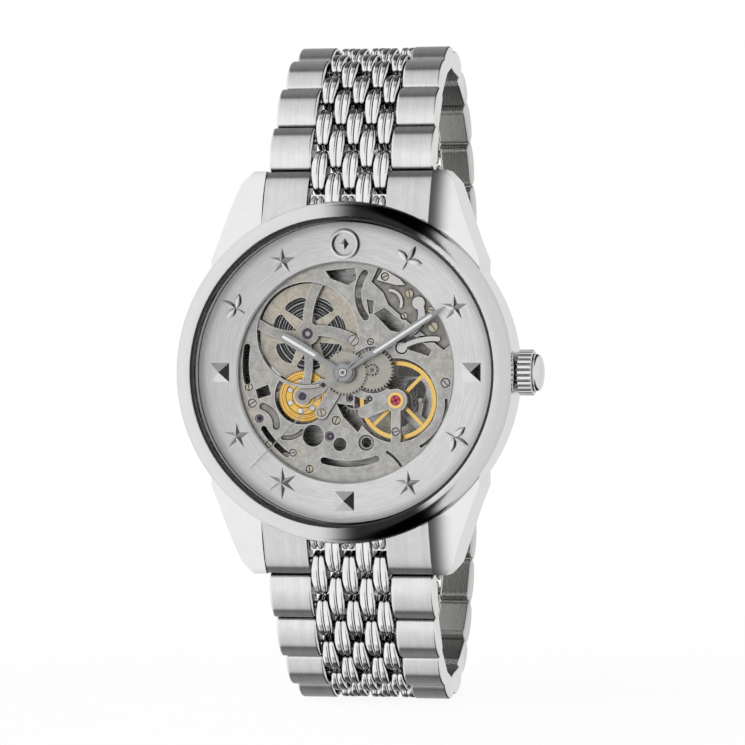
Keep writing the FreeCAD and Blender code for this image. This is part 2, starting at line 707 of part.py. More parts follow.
ROTOR_R = module_radius(span(REVERSER), ROTOR_TEETH, REVERSER_TEETH)
REVERSER_R = module_radius(span(REVERSER), REVERSER_TEETH, ROTOR_TEETH)
CENTRE = (0.0, 0.0)


def barrel():
    """The toothed drum, and its cover with seven openings."""
    turn = mesh_turn(BARREL_TEETH, CENTRE_PINION, BARREL, CENTRE, 0.0)
    teeth = wheel(BARREL_TEETH, BARREL_R, 5.0, 5.3, BARREL, bore=5.0, turn=turn)
    drum = turned([
        (0.58, 5.0), (5.4, 5.0), (5.4, 6.45), (5.1, 6.45), (5.1, 5.2), (0.58, 5.2),
    ], BARREL)
    drum = fused([drum, teeth])
    holes = []
    for i in range(7):
        holes.append(petal(360.0 * i / 7 + 12.0))
    cover = sheet(circle(5.9, 6.45, BARREL), [circle(0.58, 6.45, BARREL)] + holes)
    return [drum, cover.extrude(vec(0, 0, 0.15))]


def petal(middle):
    """One opening of the barrel cover: narrow near the arbor, wide near the rim."""
    steps = [
        polar(4.25, middle - 17, BARREL),
        (polar(4.45, middle, BARREL), polar(4.25, middle + 17, BARREL)),
        (polar(4.0, middle + 20.5, BARREL), polar(3.6, middle + 19.5, BARREL)),
        polar(1.75, middle + 4, BARREL),
        (polar(1.62, middle, BARREL), polar(1.75, middle - 4, BARREL)),
        polar(3.6, middle - 19.5, BARREL),
        (polar(4.0, middle - 20.5, BARREL), polar(4.25, middle - 17, BARREL)),
    ]
    return outline(steps, lambda p: vec(p[0], p[1], 6.45))


def mainspring():
    return spiral(1.5, 5.0, 16, 0.12, 5.3, 6.35, BARREL)


def ratchet_wheel():
    """The ratchet wheel under the barrel, with the arbor through the drum."""
    top = wheel(50, 3.0, 4.35, 4.6, BARREL, spokes=5, rim=0.6, hub=1.2, spoke=0.5)
    arbor = fused([disc(0.56, 4.35, 6.6, BARREL), disc(0.3, 3.95, 4.35, BARREL),
                   disc(0.3, 6.6, 7.4, BARREL)])
    return fused([top, arbor])


def centre_wheel():
    """Hollow arbor with pinion and wheel, and the cannon pinion pushed onto its front end."""
    wheel_turn = mesh_turn(CENTRE_TEETH, THIRD_PINION, CENTRE, THIRD, 0.0)
    plate = wheel(CENTRE_TEETH, CENTRE_WHEEL_R, 4.65, 4.8, CENTRE, spokes=4, bore=0.2,
                  turn=wheel_turn)
    pinion = wheel(CENTRE_PINION, CENTRE_R, 4.95, 5.4, CENTRE, bore=0.2)
    arbor = turned([
        (0.18, 4.62), (0.5, 4.62), (0.5, 5.4), (0.56, 5.4), (0.56, 7.7), (0.32, 7.7),
        (0.32, 9.1), (0.18, 9.1),
    ])
    arbor = fused([plate, pinion, arbor])
    cannon = fused([
        wheel(CANNON_TEETH, CANNON_R, 7.75, 7.95, CENTRE, bore=0.34),
        turned([(0.33, 7.75), (0.58, 7.75), (0.58, 9.3), (0.49, 9.3), (0.49, 9.5), (0.33, 9.5)]),
    ])
    return [arbor, cannon]


def third_wheel():
    pinion = wheel(THIRD_PINION, THIRD_PINION_R, 4.62, 4.84, THIRD)
    turn = mesh_turn(THIRD_TEETH, FOURTH_PINION, THIRD, CENTRE, 0.0)
    plate = wheel(THIRD_TEETH, THIRD_WHEEL_R, 4.35, 4.5, THIRD, spokes=5, bore=0.1, turn=turn)
    return fused([plate, pinion, disc(0.12, 3.4, 7.3, THIRD), disc(0.25, 4.3, 4.9, THIRD)])


def fourth_wheel():
    turn = mesh_turn(FOURTH_TEETH, ESCAPE_PINION, CENTRE, ESCAPE, 0.0)
    plate = wheel(FOURTH_TEETH, FOURTH_WHEEL_R, 4.0, 4.16, CENTRE, spokes=4, bore=0.1, turn=turn)
    pinion = wheel(FOURTH_PINION, FOURTH_PINION_R, 4.32, 4.53, CENTRE)
    arbor = fused([disc(0.13, 3.5, 9.6, CENTRE), disc(0.12, 9.6, 9.76, CENTRE)])
    return fused([plate, pinion, arbor, disc(0.3, 3.95, 4.32, CENTRE)])


def escape_wheel():
    """The escape wheel has leaning club teeth, so its outline is drawn tooth by tooth."""
    tip, root = 1.95, 1.45
    step = 360.0 / ESCAPE_TEETH
    points = []
    for i in range(ESCAPE_TEETH):
        a = i * step
        points.append(polar(root, a, ESCAPE))
        points.append(polar(tip - 0.1, a + 0.18 * step, ESCAPE))
        points.append(polar(tip, a + 0.42 * step, ESCAPE))
        points.append(polar(root, a + 0.3 * step, ESCAPE))
    outer = outline(points, lambda p: vec(p[0], p[1], 5.3))
    holes = [window(0.4, 1.2, 90 * i, 90 * i + 90, 0.2, ESCAPE, 5.3) for i in range(4)]
    plate = sheet(outer, holes).extrude(vec(0, 0, 0.14))
    pinion = wheel(ESCAPE_PINION, ESCAPE_PINION_R, 3.97, 4.2, ESCAPE)
    return fused([plate, pinion, disc(0.08, 3.5, 7.3, ESCAPE)])


def pallet_fork():
    """A straight lever with two stones at the escape wheel and a fork at the balance."""
    z0, z1 = 5.5, 5.65
    stone_a, stone_b = polar(1.98, 35, ESCAPE), polar(1.98, -35, ESCAPE)
    fork_end = (4.95, -3.22)
    lever = fused([
        disc(0.35, z0, z1, PALLET),
        bar(PALLET, stone_a, 0.3, z0, z1),
        bar(PALLET, stone_b, 0.3, z0, z1),
        bar(PALLET, fork_end, 0.28, z0, z1),
        disc(0.3, z0, z1, fork_end),
        disc(0.1, 3.5, 7.3, PALLET),
    ])
    notch = Part.makeBox(0.5, 0.2, 1.0, vec(4.95, -3.32, z0 - 0.4))
    stones = [disc(0.13, 5.47, 5.5, stone_a), disc(0.13, 5.47, 5.5, stone_b)]
    return fused([lever.cut(notch)] + stones)


def balance_wheel():
    """Rim with four arms, staff, and the roller with its impulse pin."""
    holes = []
    for i in range(4):
        holes.append(window(0.55, 4.1, 45 + 90 * i, 135 + 90 * i, 0.42, BALANCE, 6.05))
    arms = sheet(circle(4.3, 6.05, BALANCE), holes).extrude(vec(0, 0, 0.2))
    rim = ring(4.08, 4.58, 5.95, 6.35, BALANCE)
    staff = fused([
        disc(0.3, 4.6, 6.4, BALANCE), disc(0.12, 3.7, 4.6, BALANCE),
        disc(0.12, 6.4, 7.2, BALANCE),
    ])
    roller = disc(0.75, 5.78, 5.95, BALANCE)
    pin = disc(0.08, 5.68, 5.78, (BALANCE[0] - 0.6, BALANCE[1]))
    return fused([arms, rim, staff, roller, pin])


def hairspring():
    return spiral(0.45, 2.2, 9, 0.05, 4.66, 4.8, BALANCE)


def jewels():
    """Bearing jewels: rings seen from the front, and the balance's stone in its gold setting."""
    solids = []
    for x, y, r in JEWELS_FRONT:
        hole = 0.32 if r > 0.6 else 0.14
        solids.append(ring(hole, r, PLATE_Z0 + 0.25, PLATE_Z1 - 0.2, (x, y)))
    solids.append(ring(0.62, 0.94, 7.15, 7.78, BALANCE))
    solids.append(ring(0.14, 0.6, 7.1, 7.68, BALANCE))
    solids.append(ring(0.14, 0.34, 3.35, 3.95, BALANCE))
    return solids


def screw(x, y, r, seat):
    """A flat head with a driver slot, on a short shank."""
    head = disc(r, seat, seat + 0.16, (x, y))
    angle = (x * 37.0 + y * 53.0) % 180.0
    slot = Part.makeBox(2 * r + 0.2, 0.16, 0.2, vec(x - r - 0.1, y - 0.08, seat + 0.08))
    slot = turned_by(slot, angle, (x, y))
    shank = disc(r * 0.5, seat - 0.45, seat, (x, y))
    return fused([head.cut(slot), shank])


def screws():
    made = [screw(x, y, r, SCREW_SEAT) for x, y, r in SCREWS_FRONT]
    made += [screw(x, y, r, KEYLESS_FLOOR) for x, y, r in SCREWS_KEYLESS]
    return made + [screw(*RAISED_SCREW, RAISED_Z)]


def setting_levers():
    """Keyless works on the front plate: setting lever, yoke, jumper spring and a wheel."""
    z0, z1 = KEYLESS_FLOOR + 0.01, KEYLESS_FLOOR + 0.26
    setting = fused([
        curved_bar(*SETTING_PATH, 0.8, z0, z1),
        disc(0.75, z0, z1, SETTING_PATH[0]),
    ])
    yoke = fused([
        curved_bar(*YOKE_PATH, 0.55, z0, z1),
        disc(0.6, z0, z1, YOKE_PATH[2]),
    ])
    jumper = curved_bar((5.2, 9.6), (6.3, 9.0), (6.5, 7.7), 0.35, z0, z1)
    cover = prism([(3.6, 10.8), (5.9, 10.2), (7.0, 10.2), (6.4, 10.9), (4.4, 12.1)], z0, z1)
    cover = cover.cut(disc(0.5, z0 - 1, z1 + 1, (4.6, 11.2)))
    return [setting, yoke, jumper, cover]


def minute_wheel():
    turn = mesh_turn(MINUTE_TEETH, CANNON_TEETH, MINUTE_WHEEL, CENTRE, 0.0)
    plate = wheel(MINUTE_TEETH, MINUTE_R, 7.77, 7.9, MINUTE_WHEEL, bore=0.33, turn=turn)
    pinion_turn = mesh_turn(MINUTE_PINION, HOUR_TEETH, MINUTE_WHEEL, CENTRE, 0.0)
    pinion = wheel(MINUTE_PINION, MINUTE_PINION_R, 7.9, 8.16, MINUTE_WHEEL, bore=0.33,
                   turn=pinion_turn)
    return fused([plate, pinion])


def hour_wheel():
    plate = wheel(HOUR_TEETH, HOUR_R, 8.02, 8.14, CENTRE, bore=0.62)
    pipe = ring(0.6, 0.85, 8.02, 9.1, CENTRE)
    return fused([plate, pipe])


def rotor():
    """Half-disc winding weight with a heavy rim, turning on the bridge's axle."""
    web = prism([
        (-12.0, -0.6), ((0.0, -12.0), (12.0, -0.6)), (3.0, -0.4), ((0.0, 2.6), (-3.0, -0.4)),
    ], 1.95, 2.25)
    web = web.common(disc(11.6, 0, 10))
    rim = ring(11.0, 13.1, 1.75, 2.85).common(Part.makeBox(30, 15, 5, vec(-15, -15.6, 0)))
    windows = []
    for i in range(3):
        a = 210 + 60 * i
        windows.append(curved_bar(polar(7.4, a - 14), polar(7.4, a), polar(7.4, a + 14), 2.6, 0, 9))
    gear = wheel(ROTOR_TEETH, ROTOR_R, 2.75, 2.95, CENTRE)
    hub = fused([disc(1.7, 1.9, 3.1), gear])
    body = fused([cut(web, windows), rim, hub])
    return body.cut(disc(0.85, 0, 5))


def reverser_wheel():
    """Winding wheel: a toothed disc behind, gold wheels in front, seven bearing balls."""
    turn = mesh_turn(REVERSER_TEETH, ROTOR_TEETH, REVERSER, CENTRE, 0.0)
    lower = wheel(REVERSER_TEETH, REVERSER_R, 2.76, 2.94, REVERSER, spokes=4, turn=turn)
    big = wheel(72, 2.98, 6.64, 6.72, REVERSER, spokes=3, rim=0.5, hub=2.0, spoke=0.5)
    small = ring(0.2, 2.35, 6.72, 6.8, REVERSER)
    arbor = fused([disc(0.2, 2.76, 6.8, REVERSER), disc(0.12, 6.8, 7.3, REVERSER)])
    body = fused([lower, big, small, arbor])
    balls = [polar(1.75, 360.0 * i / 7, REVERSER) for i in range(7)]
    beads = []
    for x, y in balls:
        ball = Part.makeSphere(0.3, vec(x, y, 6.8))
        beads.append(ball.common(disc(1.0, 6.8, 6.86, (x, y))))
    return fused([body] + beads)


# ---- bracelet ----

def chain_point(pin, tilt, s, t):
    """The (y, z) of a point s along and t out from a pin, on a link tilted from upright."""
    a = math.radians(tilt)
    y = pin[0] + s * math.cos(a) + t * math.sin(a)
    z = pin[1] - s * math.sin(a) + t * math.cos(a)
    return (y, z)


def chain_pins():
    """The hinge pins down one half of the bracelet, the last being the clasp's."""
    pins = [FIRST_PIN]
    for tilt in ROW_TILTS:
        pins.append(chain_point(pins[-1], tilt, PITCH, 0.0))
    return pins


def link_outline(half, low, top, arc_r, fillet_low, fillet_top, middle):
    """Side outline of a link: flat inside, arched outside, every corner rounded."""
    c = top - arc_r
    fs = half - fillet_top
    ft = c + math.sqrt((arc_r - fillet_top) ** 2 - fs ** 2)
    k = arc_r / (arc_r - fillet_top)
    join = (fs * k, c + (ft - c) * k)
    a = math.atan2(ft - c, fs) / 2
    shoulder = (fs + fillet_top * math.cos(a), ft + fillet_top * math.sin(a))
    bs, bt = half - fillet_low, low + fillet_low
    q = math.sqrt(0.5) * fillet_low
    return [
        (middle + half, bt),
        (middle + half, ft),
        ((middle + shoulder[0], shoulder[1]), (middle + join[0], join[1])),
        ((middle, top), (middle - join[0], join[1])),
        ((middle - shoulder[0], shoulder[1]), (middle - half, ft)),
        (middle - half, bt),
        ((middle - bs - q, bt - q), (middle - bs, low)),
        (middle + bs, low),
        ((middle + bs + q, bt - q), (middle + half, bt)),
    ]


def rounded_slab(steps, x0, x1, r):
    """A side outline made wide, with the edges of both ends rounded."""
    body = across(steps, x0, x1)
    edges = []
    for edge in body.Edges:
        box = edge.BoundBox
        if box.XLength < 1e-6:
            edges.append(edge)
    return body.makeFillet(r, edges)


def block_steps(middle):
    return link_outline(LINK_HALF, LINK_LOW, LINK_TOP, LINK_ARC, FILLET_LOW, FILLET_TOP, middle)


def rod():
    """One rod of a bead: straight beside its twin, bowed on the other side, arched on top."""
    side = link_outline(BEAD_HALF, BEAD_LOW, BEAD_TOP, 4.4, 0.6, 0.7, 0.0)
    plan = [
        (0.0, -BEAD_HALF), (ROD_END_WIDTH, -BEAD_HALF),
        ((ROD_WIDTH, 0.0), (ROD_END_WIDTH, BEAD_HALF)), (0.0, BEAD_HALF),
    ]
    slab = across(side, -0.1, ROD_WIDTH + 0.1)
    body = slab.common(prism(plan, BEAD_LOW - 1.0, BEAD_TOP + 1.0))
    edges = []
    for edge in body.Edges:
        box = edge.BoundBox
        if box.XMax < 0.01 or box.XMin > ROD_END_WIDTH - 0.01:
            edges.append(edge)
    return body.makeFillet(ROD_FILLET, edges)


def bead(column, middle):
    """Two polished rods side by side, joined by a web below their crowns."""
    x = column * COLUMN_PITCH
    right = rod()
    left = moved(mirrored_x(right), x, middle)
    web_side = link_outline(BEAD_HALF - 0.2, BEAD_LOW + 0.2, BEAD_TOP - 0.4, 4.4, 0.5, 0.6, middle)
    web = across(web_side, x - ROD_END_WIDTH / 2, x + ROD_END_WIDTH / 2)
    return moved(right, x, middle).fuse([left, web])


def pin_holes(middle):
    """The two pin holes of a link whose middle is at this place along the chain."""
    reach = PIN_HALF_LENGTH + 0.15
    return [rod_x(PIN_HOLE_R, -reach, reach, middle + d, 0.0) for d in (-PIN_OFFSET, PIN_OFFSET)]


def outer_comb():
    """Columns two and four of a row, which carry the pin holes."""
    middle = PITCH - PIN_OFFSET
    return [cut(bead(column, middle), pin_holes(middle)) for column in (-1, 1)]


def inner_comb():
    """Columns one, three and five with their two pins, as one solid."""
    beads = [bead(column, PIN_OFFSET) for column in (-2, 0, 2)]
    pins = [rod_x(PIN_R, -PIN_HALF_LENGTH, PIN_HALF_LENGTH, d, 0.0) for d in (0.0, 2 * PIN_OFFSET)]
    return beads[0].fuse(beads[1:] + pins)


def side_block(width):
    """The satin block at the right side of a row."""
    middle = PITCH - PIN_OFFSET
    body = rounded_slab(block_steps(middle), BLOCK_INNER_X, width / 2, 0.3)
    return cut(body, pin_holes(middle))


def row(width, combs):
    block = side_block(width)
    return Part.makeCompound([block, mirrored_x(block)] + combs)


def placed(shape, pin, tilt):
    """Moves a link from its own frame to its pin and tilt."""
    copy = shape.copy()
    copy.rotate(vec(0, 0, 0), vec(1, 0, 0), -tilt)
    copy.translate(vec(0, pin[0], pin[1]))
    return copy


def lower_half(shape):
    """The same piece on the 6 o'clock side."""
    return turned_by(shape, 180.0)


def end_link():
    """The fixed link that fills the gap between the lugs, and its spring bar."""
    middle = -PIN_OFFSET
    steps = block_steps(middle)
    side = [
        steps[0], steps[1], steps[2],
        ((middle + 1.2, LINK_TOP - 0.163), (middle, LINK_TOP)),
        (-6.6, 2.0), (-6.6, -0.6), (-5.2, LINK_LOW), steps[7], steps[8],
    ]
    block = across(side, BLOCK_INNER_X, LUG_GAP / 2 - 0.06)
    web_steps = [(-1.72, -0.78), (-1.72, 0.95), (-6.5, 1.3), (-6.5, -0.5), (-5.2, -0.78)]
    web = across(web_steps, -BLOCK_INNER_X - 0.1, BLOCK_INNER_X + 0.1)
    beads = [bead(column, middle) for column in (-1, 1)]
    beads += [bead(column, middle - PITCH / 2) for column in (-2, 0, 2)]
    body = web.fuse([block, mirrored_x(block)])
    for item in beads:
        body = body.fuse(item)
    reach = PIN_HALF_LENGTH + 0.15
    hinge = rod_x(PIN_HOLE_R, -reach, reach, 0.0, 0.0)
    bar_hole = rod_x(0.63, -11, 11, SPRING_BAR[0], SPRING_BAR[1])
    body = placed(cut(body, [hinge, bar_hole]), FIRST_PIN, END_LINK_TILT)
    body = body.cut(disc(RELIEF_R + 0.06, -5, 20))
    body = body.cut(disc(BEZEL_R + 0.06, CASE_TOP - 0.05, 20))
    spring_bar = fused([
        rod_x(0.6, -9.85, 9.85, SPRING_BAR[0], SPRING_BAR[1]),
        rod_x(0.4, -11.1, 11.1, SPRING_BAR[0], SPRING_BAR[1]),
    ])
    spring_bar = placed(spring_bar, FIRST_PIN, END_LINK_TILT)
    return Part.makeCompound(body.Solids + spring_bar.Solids)


# ---- clasp ----

def clasp_point(degrees, t):
    """A (y, z) on the clasp's curve, an angle from its lowest point and t out from it."""
    pin = chain_pins()[-1]
    centre_z = pin[1] + math.sqrt(CLASP_R ** 2 - pin[0] ** 2)
    a = math.radians(degrees)
    r = CLASP_R + t
    return (r * math.sin(a), centre_z - r * math.cos(a))


def curved_plate(a0, a1, t0, t1, x0, x1):
    """A plate that follows the wrist from one angle to another."""
    middle = (a0 + a1) / 2
    steps = [
        clasp_point(a0, t0),
        (clasp_point(middle, t0), clasp_point(a1, t0)),
        clasp_point(a1, t1),
        (clasp_point(middle, t1), clasp_point(a0, t1)),
    ]
    return across(steps, x0, x1)


def knuckle(hinge, r, x0, x1):
    y, z = clasp_point(*hinge)
    return rod_x(r, x0, x1, y, z)


def clasp_cover(inner):
    """The outer plate, hinged to the last upper row, with ears for the first blade."""
    half = CLASP_WIDTH / 2
    plate = curved_plate(-CLASP_END, CLASP_END, 0.55, 1.85, -half, half)
    raised = curved_plate(-CLASP_END + 1.6, CLASP_END - 3.4, 1.8, 2.05, -half + 1.1, half - 1.1)
    pockets = []
    for x0 in (half - 1.0, -half - 1.0):
        pockets.append(curved_plate(-7.4, -5.0, 0.8, 1.6, x0, x0 + 2.0))
    ears = []
    for x0 in (3.6, -5.0):
        ears.append(knuckle(HINGE_TWO, 0.45, x0, x0 + 1.4))
        ears.append(curved_plate(HINGE_TWO[0] - 0.33, HINGE_TWO[0] + 0.33, 0.1, 0.7, x0, x0 + 1.4))
    pin = knuckle(HINGE_TWO, 0.2, -4.5, 4.5)
    comb = placed(inner, chain_pins()[-1], 171.0)
    relief = curved_plate(8.0, 12.0, 0.0, 2.5, -BLOCK_INNER_X, BLOCK_INNER_X)
    body = cut(plate.fuse(raised), pockets + [relief])
    return body.fuse(ears + [pin, comb])


def clasp_blade_outer():
    """The first folding blade. It lies between the cover and the second blade."""
    w = BLADE_HALF_WIDTH
    plate = curved_plate(HINGE_TWO[0], HINGE_THREE[0], -0.25, 0.45, -w, w)
    notch = curved_plate(HINGE_THREE[0] - 0.75, HINGE_THREE[0] + 1.0, -1.0, 1.0, -2.1, 2.1)
    window_hole = curved_plate(-5.5, 3.6, -1.0, 1.0, -1.7, 1.7)
    plate = cut(plate, [notch, window_hole])
    body = plate.fuse([
        knuckle(HINGE_TWO, 0.42, -w, w),
        knuckle(HINGE_THREE, 0.42, 2.1, w),
        knuckle(HINGE_THREE, 0.42, -w, -2.1),
    ])
    body = body.cut(knuckle(HINGE_TWO, 0.22, -5, 5))
    return body.fuse(knuckle(HINGE_THREE, 0.2, -w, w))


def clasp_blade_inner():
    """The second folding blade, nearest the wrist."""
    w = BLADE_HALF_WIDTH
    plate = curved_plate(-7.9, HINGE_THREE[0] - 0.55, -1.0, -0.35, -w, w)
    tongue = curved_plate(HINGE_THREE[0] - 0.7, HINGE_THREE[0], -0.72, -0.35, -2.0, 2.0)
    body = plate.fuse([tongue, knuckle(HINGE_THREE, 0.42, -2.0, 2.0)])
    hollow = curved_plate(-5.5, 3.6, -2.0, 1.0, -1.7, 1.7)
    return body.cut([knuckle(HINGE_THREE, 0.22, -2.5, 2.5), hollow])


def clasp_button(side):
    """A push piece in the side of the cover."""
    half = CLASP_WIDTH / 2
    body = curved_plate(-7.3, -5.1, 0.85, 1.55, half - 0.45, half + 0.55)
    return body if side > 0 else mirrored_x(body)


# ---- writing ----

def solids_of(piece):
    if isinstance(piece, list):
        return [solid for item in piece for solid in solids_of(item)]
    return piece.Solids


def write(name, piece):
    """Stands a piece upright and writes it."""
    shape = Part.makeCompound(solids_of(piece))
    shape.rotate(vec(0, 0, 0), vec(1, 0, 0), 90)
    bad = [solid for solid in shape.Solids if not solid.isValid() or solid.Volume <= 0]
    print(name, len(shape.Solids), "solids", round(shape.Volume, 3), "mm3", "BAD" if bad else "")
    shape.exportStep("parts/" + name + ".step")


def bracelet_pieces():
    pieces = {}
    link = end_link()
    pieces["end_link_upper"] = link
    pieces["end_link_lower"] = lower_half(link)
    pins = chain_pins()
    inner = inner_comb()
    combs = outer_comb() + [inner]
    for k, (tilt, width) in enumerate(zip(ROW_TILTS, ROW_WIDTHS)):
        shape = placed(row(width, combs), pins[k], tilt)
        pieces["upper_row_%02d" % (k + 1)] = shape
        pieces["lower_row_%02d" % (k + 1)] = lower_half(shape)
    pieces["clasp_cover"] = clasp_cover(inner)
    pieces["clasp_blade_outer"] = clasp_blade_outer()
    pieces["clasp_blade_inner"] = clasp_blade_inner()
    pieces["clasp_button_right"] = clasp_button(1)
    pieces["clasp_button_left"] = clasp_button(-1)
    return pieces


def main():
    os.makedirs("parts", exist_ok=True)
    makers = [
        case_middle, bezel, crystal, case_back, gaskets, crown, winding_stem,
        dial_ring, hour_markers, hour_hand, minute_hand, seconds_hand,
        main_plate, movement_bridge, balance_cock, barrel, mainspring, ratchet_wheel,
        centre_wheel, third_wheel, fourth_wheel, escape_wheel, pallet_fork, balance_wheel,
        hairspring, rotor, reverser_wheel, minute_wheel, hour_wheel, jewels, screws,
        setting_levers,
    ]
    for maker in makers:
        write(maker.__name__, maker())
    write("back_crystal", disc(13.3, 0.0, 0.9))
    for name, piece in bracelet_pieces().items():
        write(name, piece)


main()
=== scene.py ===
"""The looks of the skeleton wristwatch: materials, hands, movement details, studio and camera.

Metres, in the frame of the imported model: x to 3 o'clock, z to 12 o'clock, the dial faces -y, and
the hands turn about the line x = z = 0.
"""

import json
import math

import bmesh
import bpy
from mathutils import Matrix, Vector

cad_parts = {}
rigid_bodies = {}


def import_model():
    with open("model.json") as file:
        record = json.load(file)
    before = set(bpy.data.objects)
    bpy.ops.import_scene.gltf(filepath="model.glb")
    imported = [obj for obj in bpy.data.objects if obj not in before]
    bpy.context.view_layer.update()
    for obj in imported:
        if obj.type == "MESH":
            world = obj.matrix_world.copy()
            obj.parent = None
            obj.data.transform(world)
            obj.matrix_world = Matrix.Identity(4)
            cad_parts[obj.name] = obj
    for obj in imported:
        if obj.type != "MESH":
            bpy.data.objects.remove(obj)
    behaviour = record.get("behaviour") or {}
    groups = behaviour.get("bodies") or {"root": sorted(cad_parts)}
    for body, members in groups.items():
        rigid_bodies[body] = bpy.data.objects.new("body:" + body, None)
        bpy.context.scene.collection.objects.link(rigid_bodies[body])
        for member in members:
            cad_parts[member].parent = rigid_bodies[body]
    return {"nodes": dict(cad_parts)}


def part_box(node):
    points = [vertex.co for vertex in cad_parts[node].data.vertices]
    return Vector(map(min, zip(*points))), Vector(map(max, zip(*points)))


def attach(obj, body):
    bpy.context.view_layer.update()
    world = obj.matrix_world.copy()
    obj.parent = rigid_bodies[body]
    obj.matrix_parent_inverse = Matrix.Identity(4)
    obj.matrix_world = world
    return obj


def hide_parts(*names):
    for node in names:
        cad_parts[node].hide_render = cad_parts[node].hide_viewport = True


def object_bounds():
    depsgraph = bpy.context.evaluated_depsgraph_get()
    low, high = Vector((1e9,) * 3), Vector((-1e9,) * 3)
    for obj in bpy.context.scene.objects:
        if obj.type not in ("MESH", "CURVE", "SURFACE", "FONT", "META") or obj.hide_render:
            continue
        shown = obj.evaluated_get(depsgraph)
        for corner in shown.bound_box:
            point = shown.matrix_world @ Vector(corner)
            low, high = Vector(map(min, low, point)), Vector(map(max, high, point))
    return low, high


for leftover in list(bpy.data.objects):
    bpy.data.objects.remove(leftover)

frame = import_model()
CAD_LOW, CAD_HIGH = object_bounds()
NODES = frame["nodes"]
MM = 0.001

# ---- driving values ----

# camera
CAMERA_TURN = math.radians(12.3)
CAMERA_DISTANCE = 0.471
CAMERA_AIM_SHIFT = 3.75 * MM
CAMERA_LENS = 196.0
SENSOR_WIDTH = 36.0

# room and floor. The dark panels of the room are measured as x over height
ROOM_LEVEL = 0.86
PANEL_LEAN = 0.20
PANEL_HALF = 0.14
FLOOR_RADIUS = 0.22
FLOOR_STEPS = 64

# edges
BEVEL_STEEL = 0.07 * MM
BEVEL_FINE = 0.025 * MM
SHARP_ANGLE = math.radians(32)

# colours of the case and the bracelet
SATIN = (0.90, 0.90, 0.895)
# painted shade: the darker, warmer steel that the inside of the bracelet is mixed towards
INNER_BRACELET_SHADE = (0.60, 0.59, 0.565)
CLASP_STEEL = (0.76, 0.76, 0.755)
POLISHED = (0.94, 0.94, 0.935)
BEZEL_STEEL = (0.78, 0.78, 0.775)
CROWN_STEEL = (0.90, 0.90, 0.895)
RUBBER_DARK = (0.012, 0.012, 0.013)
RUBBER_LIGHT = (0.035, 0.035, 0.037)

# colours of the dial and the hands. A facet's colour is painted light and shade, by the way it
# faces
DIAL_SILVER = (0.85, 0.85, 0.85)
FACET_LEFT = (0.90, 0.90, 0.90)
FACET_DOWN = (1.0, 1.0, 1.0)
FACET_UP = (0.42, 0.42, 0.42)
FACET_RIGHT = (0.012, 0.012, 0.012)
STAR_RIGHT = (0.09, 0.09, 0.09)
HAND_GREY = (0.40, 0.41, 0.42)
INLAY_DARK = (0.86, 0.87, 0.87)
INLAY_LIGHT = (0.97, 0.97, 0.97)

# colours of the movement
NICKEL = (0.52, 0.515, 0.50)
PALE_NICKEL = (0.66, 0.65, 0.63)
BEIGE_NICKEL = (0.56, 0.52, 0.45)
# nickel of the rear bridge, made darker as painted shade because it lies deep behind the plate's
# openings
SHADED_BRIDGE_NICKEL = (0.42, 0.41, 0.40)
WHEEL_NICKEL = (0.50, 0.48, 0.43)
# painted highlight on the polished bevelled edges of the plates
PLATE_EDGE_HIGHLIGHT = (0.97, 0.97, 0.96)
BRASS = (0.72, 0.60, 0.40)
LEVER_STEEL = (0.70, 0.69, 0.67)
STEM_STEEL = (0.72, 0.72, 0.72)
FORK_STEEL = (0.66, 0.66, 0.66)
SCREW_GREY = (0.52, 0.51, 0.50)
SCREW_BEIGE = (0.56, 0.50, 0.39)
# painted highlight on the polished rims of the screw heads
SCREW_RIM_HIGHLIGHT = (0.93, 0.93, 0.92)
# blued steel made near black as painted shade on the coils' sides
SHADED_BLUED_STEEL = (0.02, 0.02, 0.024)
COIL_DARK = (0.05, 0.052, 0.06)
# painted glint on the coils' front edges
COIL_LIGHT = (0.62, 0.62, 0.60)
GOLD = (1.0, 0.66, 0.21)
DEEP_GOLD = (0.90, 0.52, 0.10)
# painted shade in the grooves of the winding wheel
GROOVE_SHADE = (0.10, 0.045, 0.01)
# painted shade round the seats of the winding wheel's balls
BALL_SEAT_SHADE = (0.06, 0.03, 0.01)
BALL_WHITE = (0.97, 0.97, 0.97)
RUBY = (0.35, 0.01, 0.045)
PALE_RUBY = (0.62, 0.05, 0.10)
PURPLE = (0.016, 0.008, 0.028)
PALE_PURPLE = (0.05, 0.02, 0.08)

# places on the case and the bracelet. A pair is where a change of shade starts and where it ends
BEAD_REACH = 4.70 * MM
WRIST_SIDE = (18.0 * MM, 24.0 * MM)
LUG_RISE = (15.5 * MM, 17.0 * MM)
LUG_SPREAD = (9.6 * MM, 13.4 * MM)

# places in the movement
PLATE_FRONT = -7.7 * MM
COIL_GLINT = 0.34 * MM
RED_JEWELS = (1.0 * MM, 1.1 * MM)
JEWEL_SETTING = (0.605 * MM, 0.612 * MM)
WHEELS = ("ratchet_wheel", "centre_wheel", "third_wheel", "fourth_wheel", "escape_wheel",
          "minute_wheel", "hour_wheel")

# winding wheel: its centre (x, z), its grooves (radius, half width) and its ring of balls
REVERSER = (-5.3 * MM, -2.8 * MM)
GROOVES = ((1.36 * MM, 0.05 * MM), (2.14 * MM, 0.05 * MM), (2.62 * MM, 0.03 * MM))
BALL_COUNT = 7
BALL_CIRCLE = 1.75 * MM
BALL_RADIUS = 0.30 * MM
BALL_FRONT = (-6.84 * MM, -6.82 * MM)

# screw heads
SMALLEST_SCREW = 0.2 * MM
HEAD_HEIGHT = 0.16 * MM
HEAD_BEVEL = 0.07 * MM
HALF_SLOT = 0.07 * MM
SLOT_FLOOR = 0.03 * MM
HALF_HEAD_STEPS = 13
SLOT_FLOOR_STEPS = 24

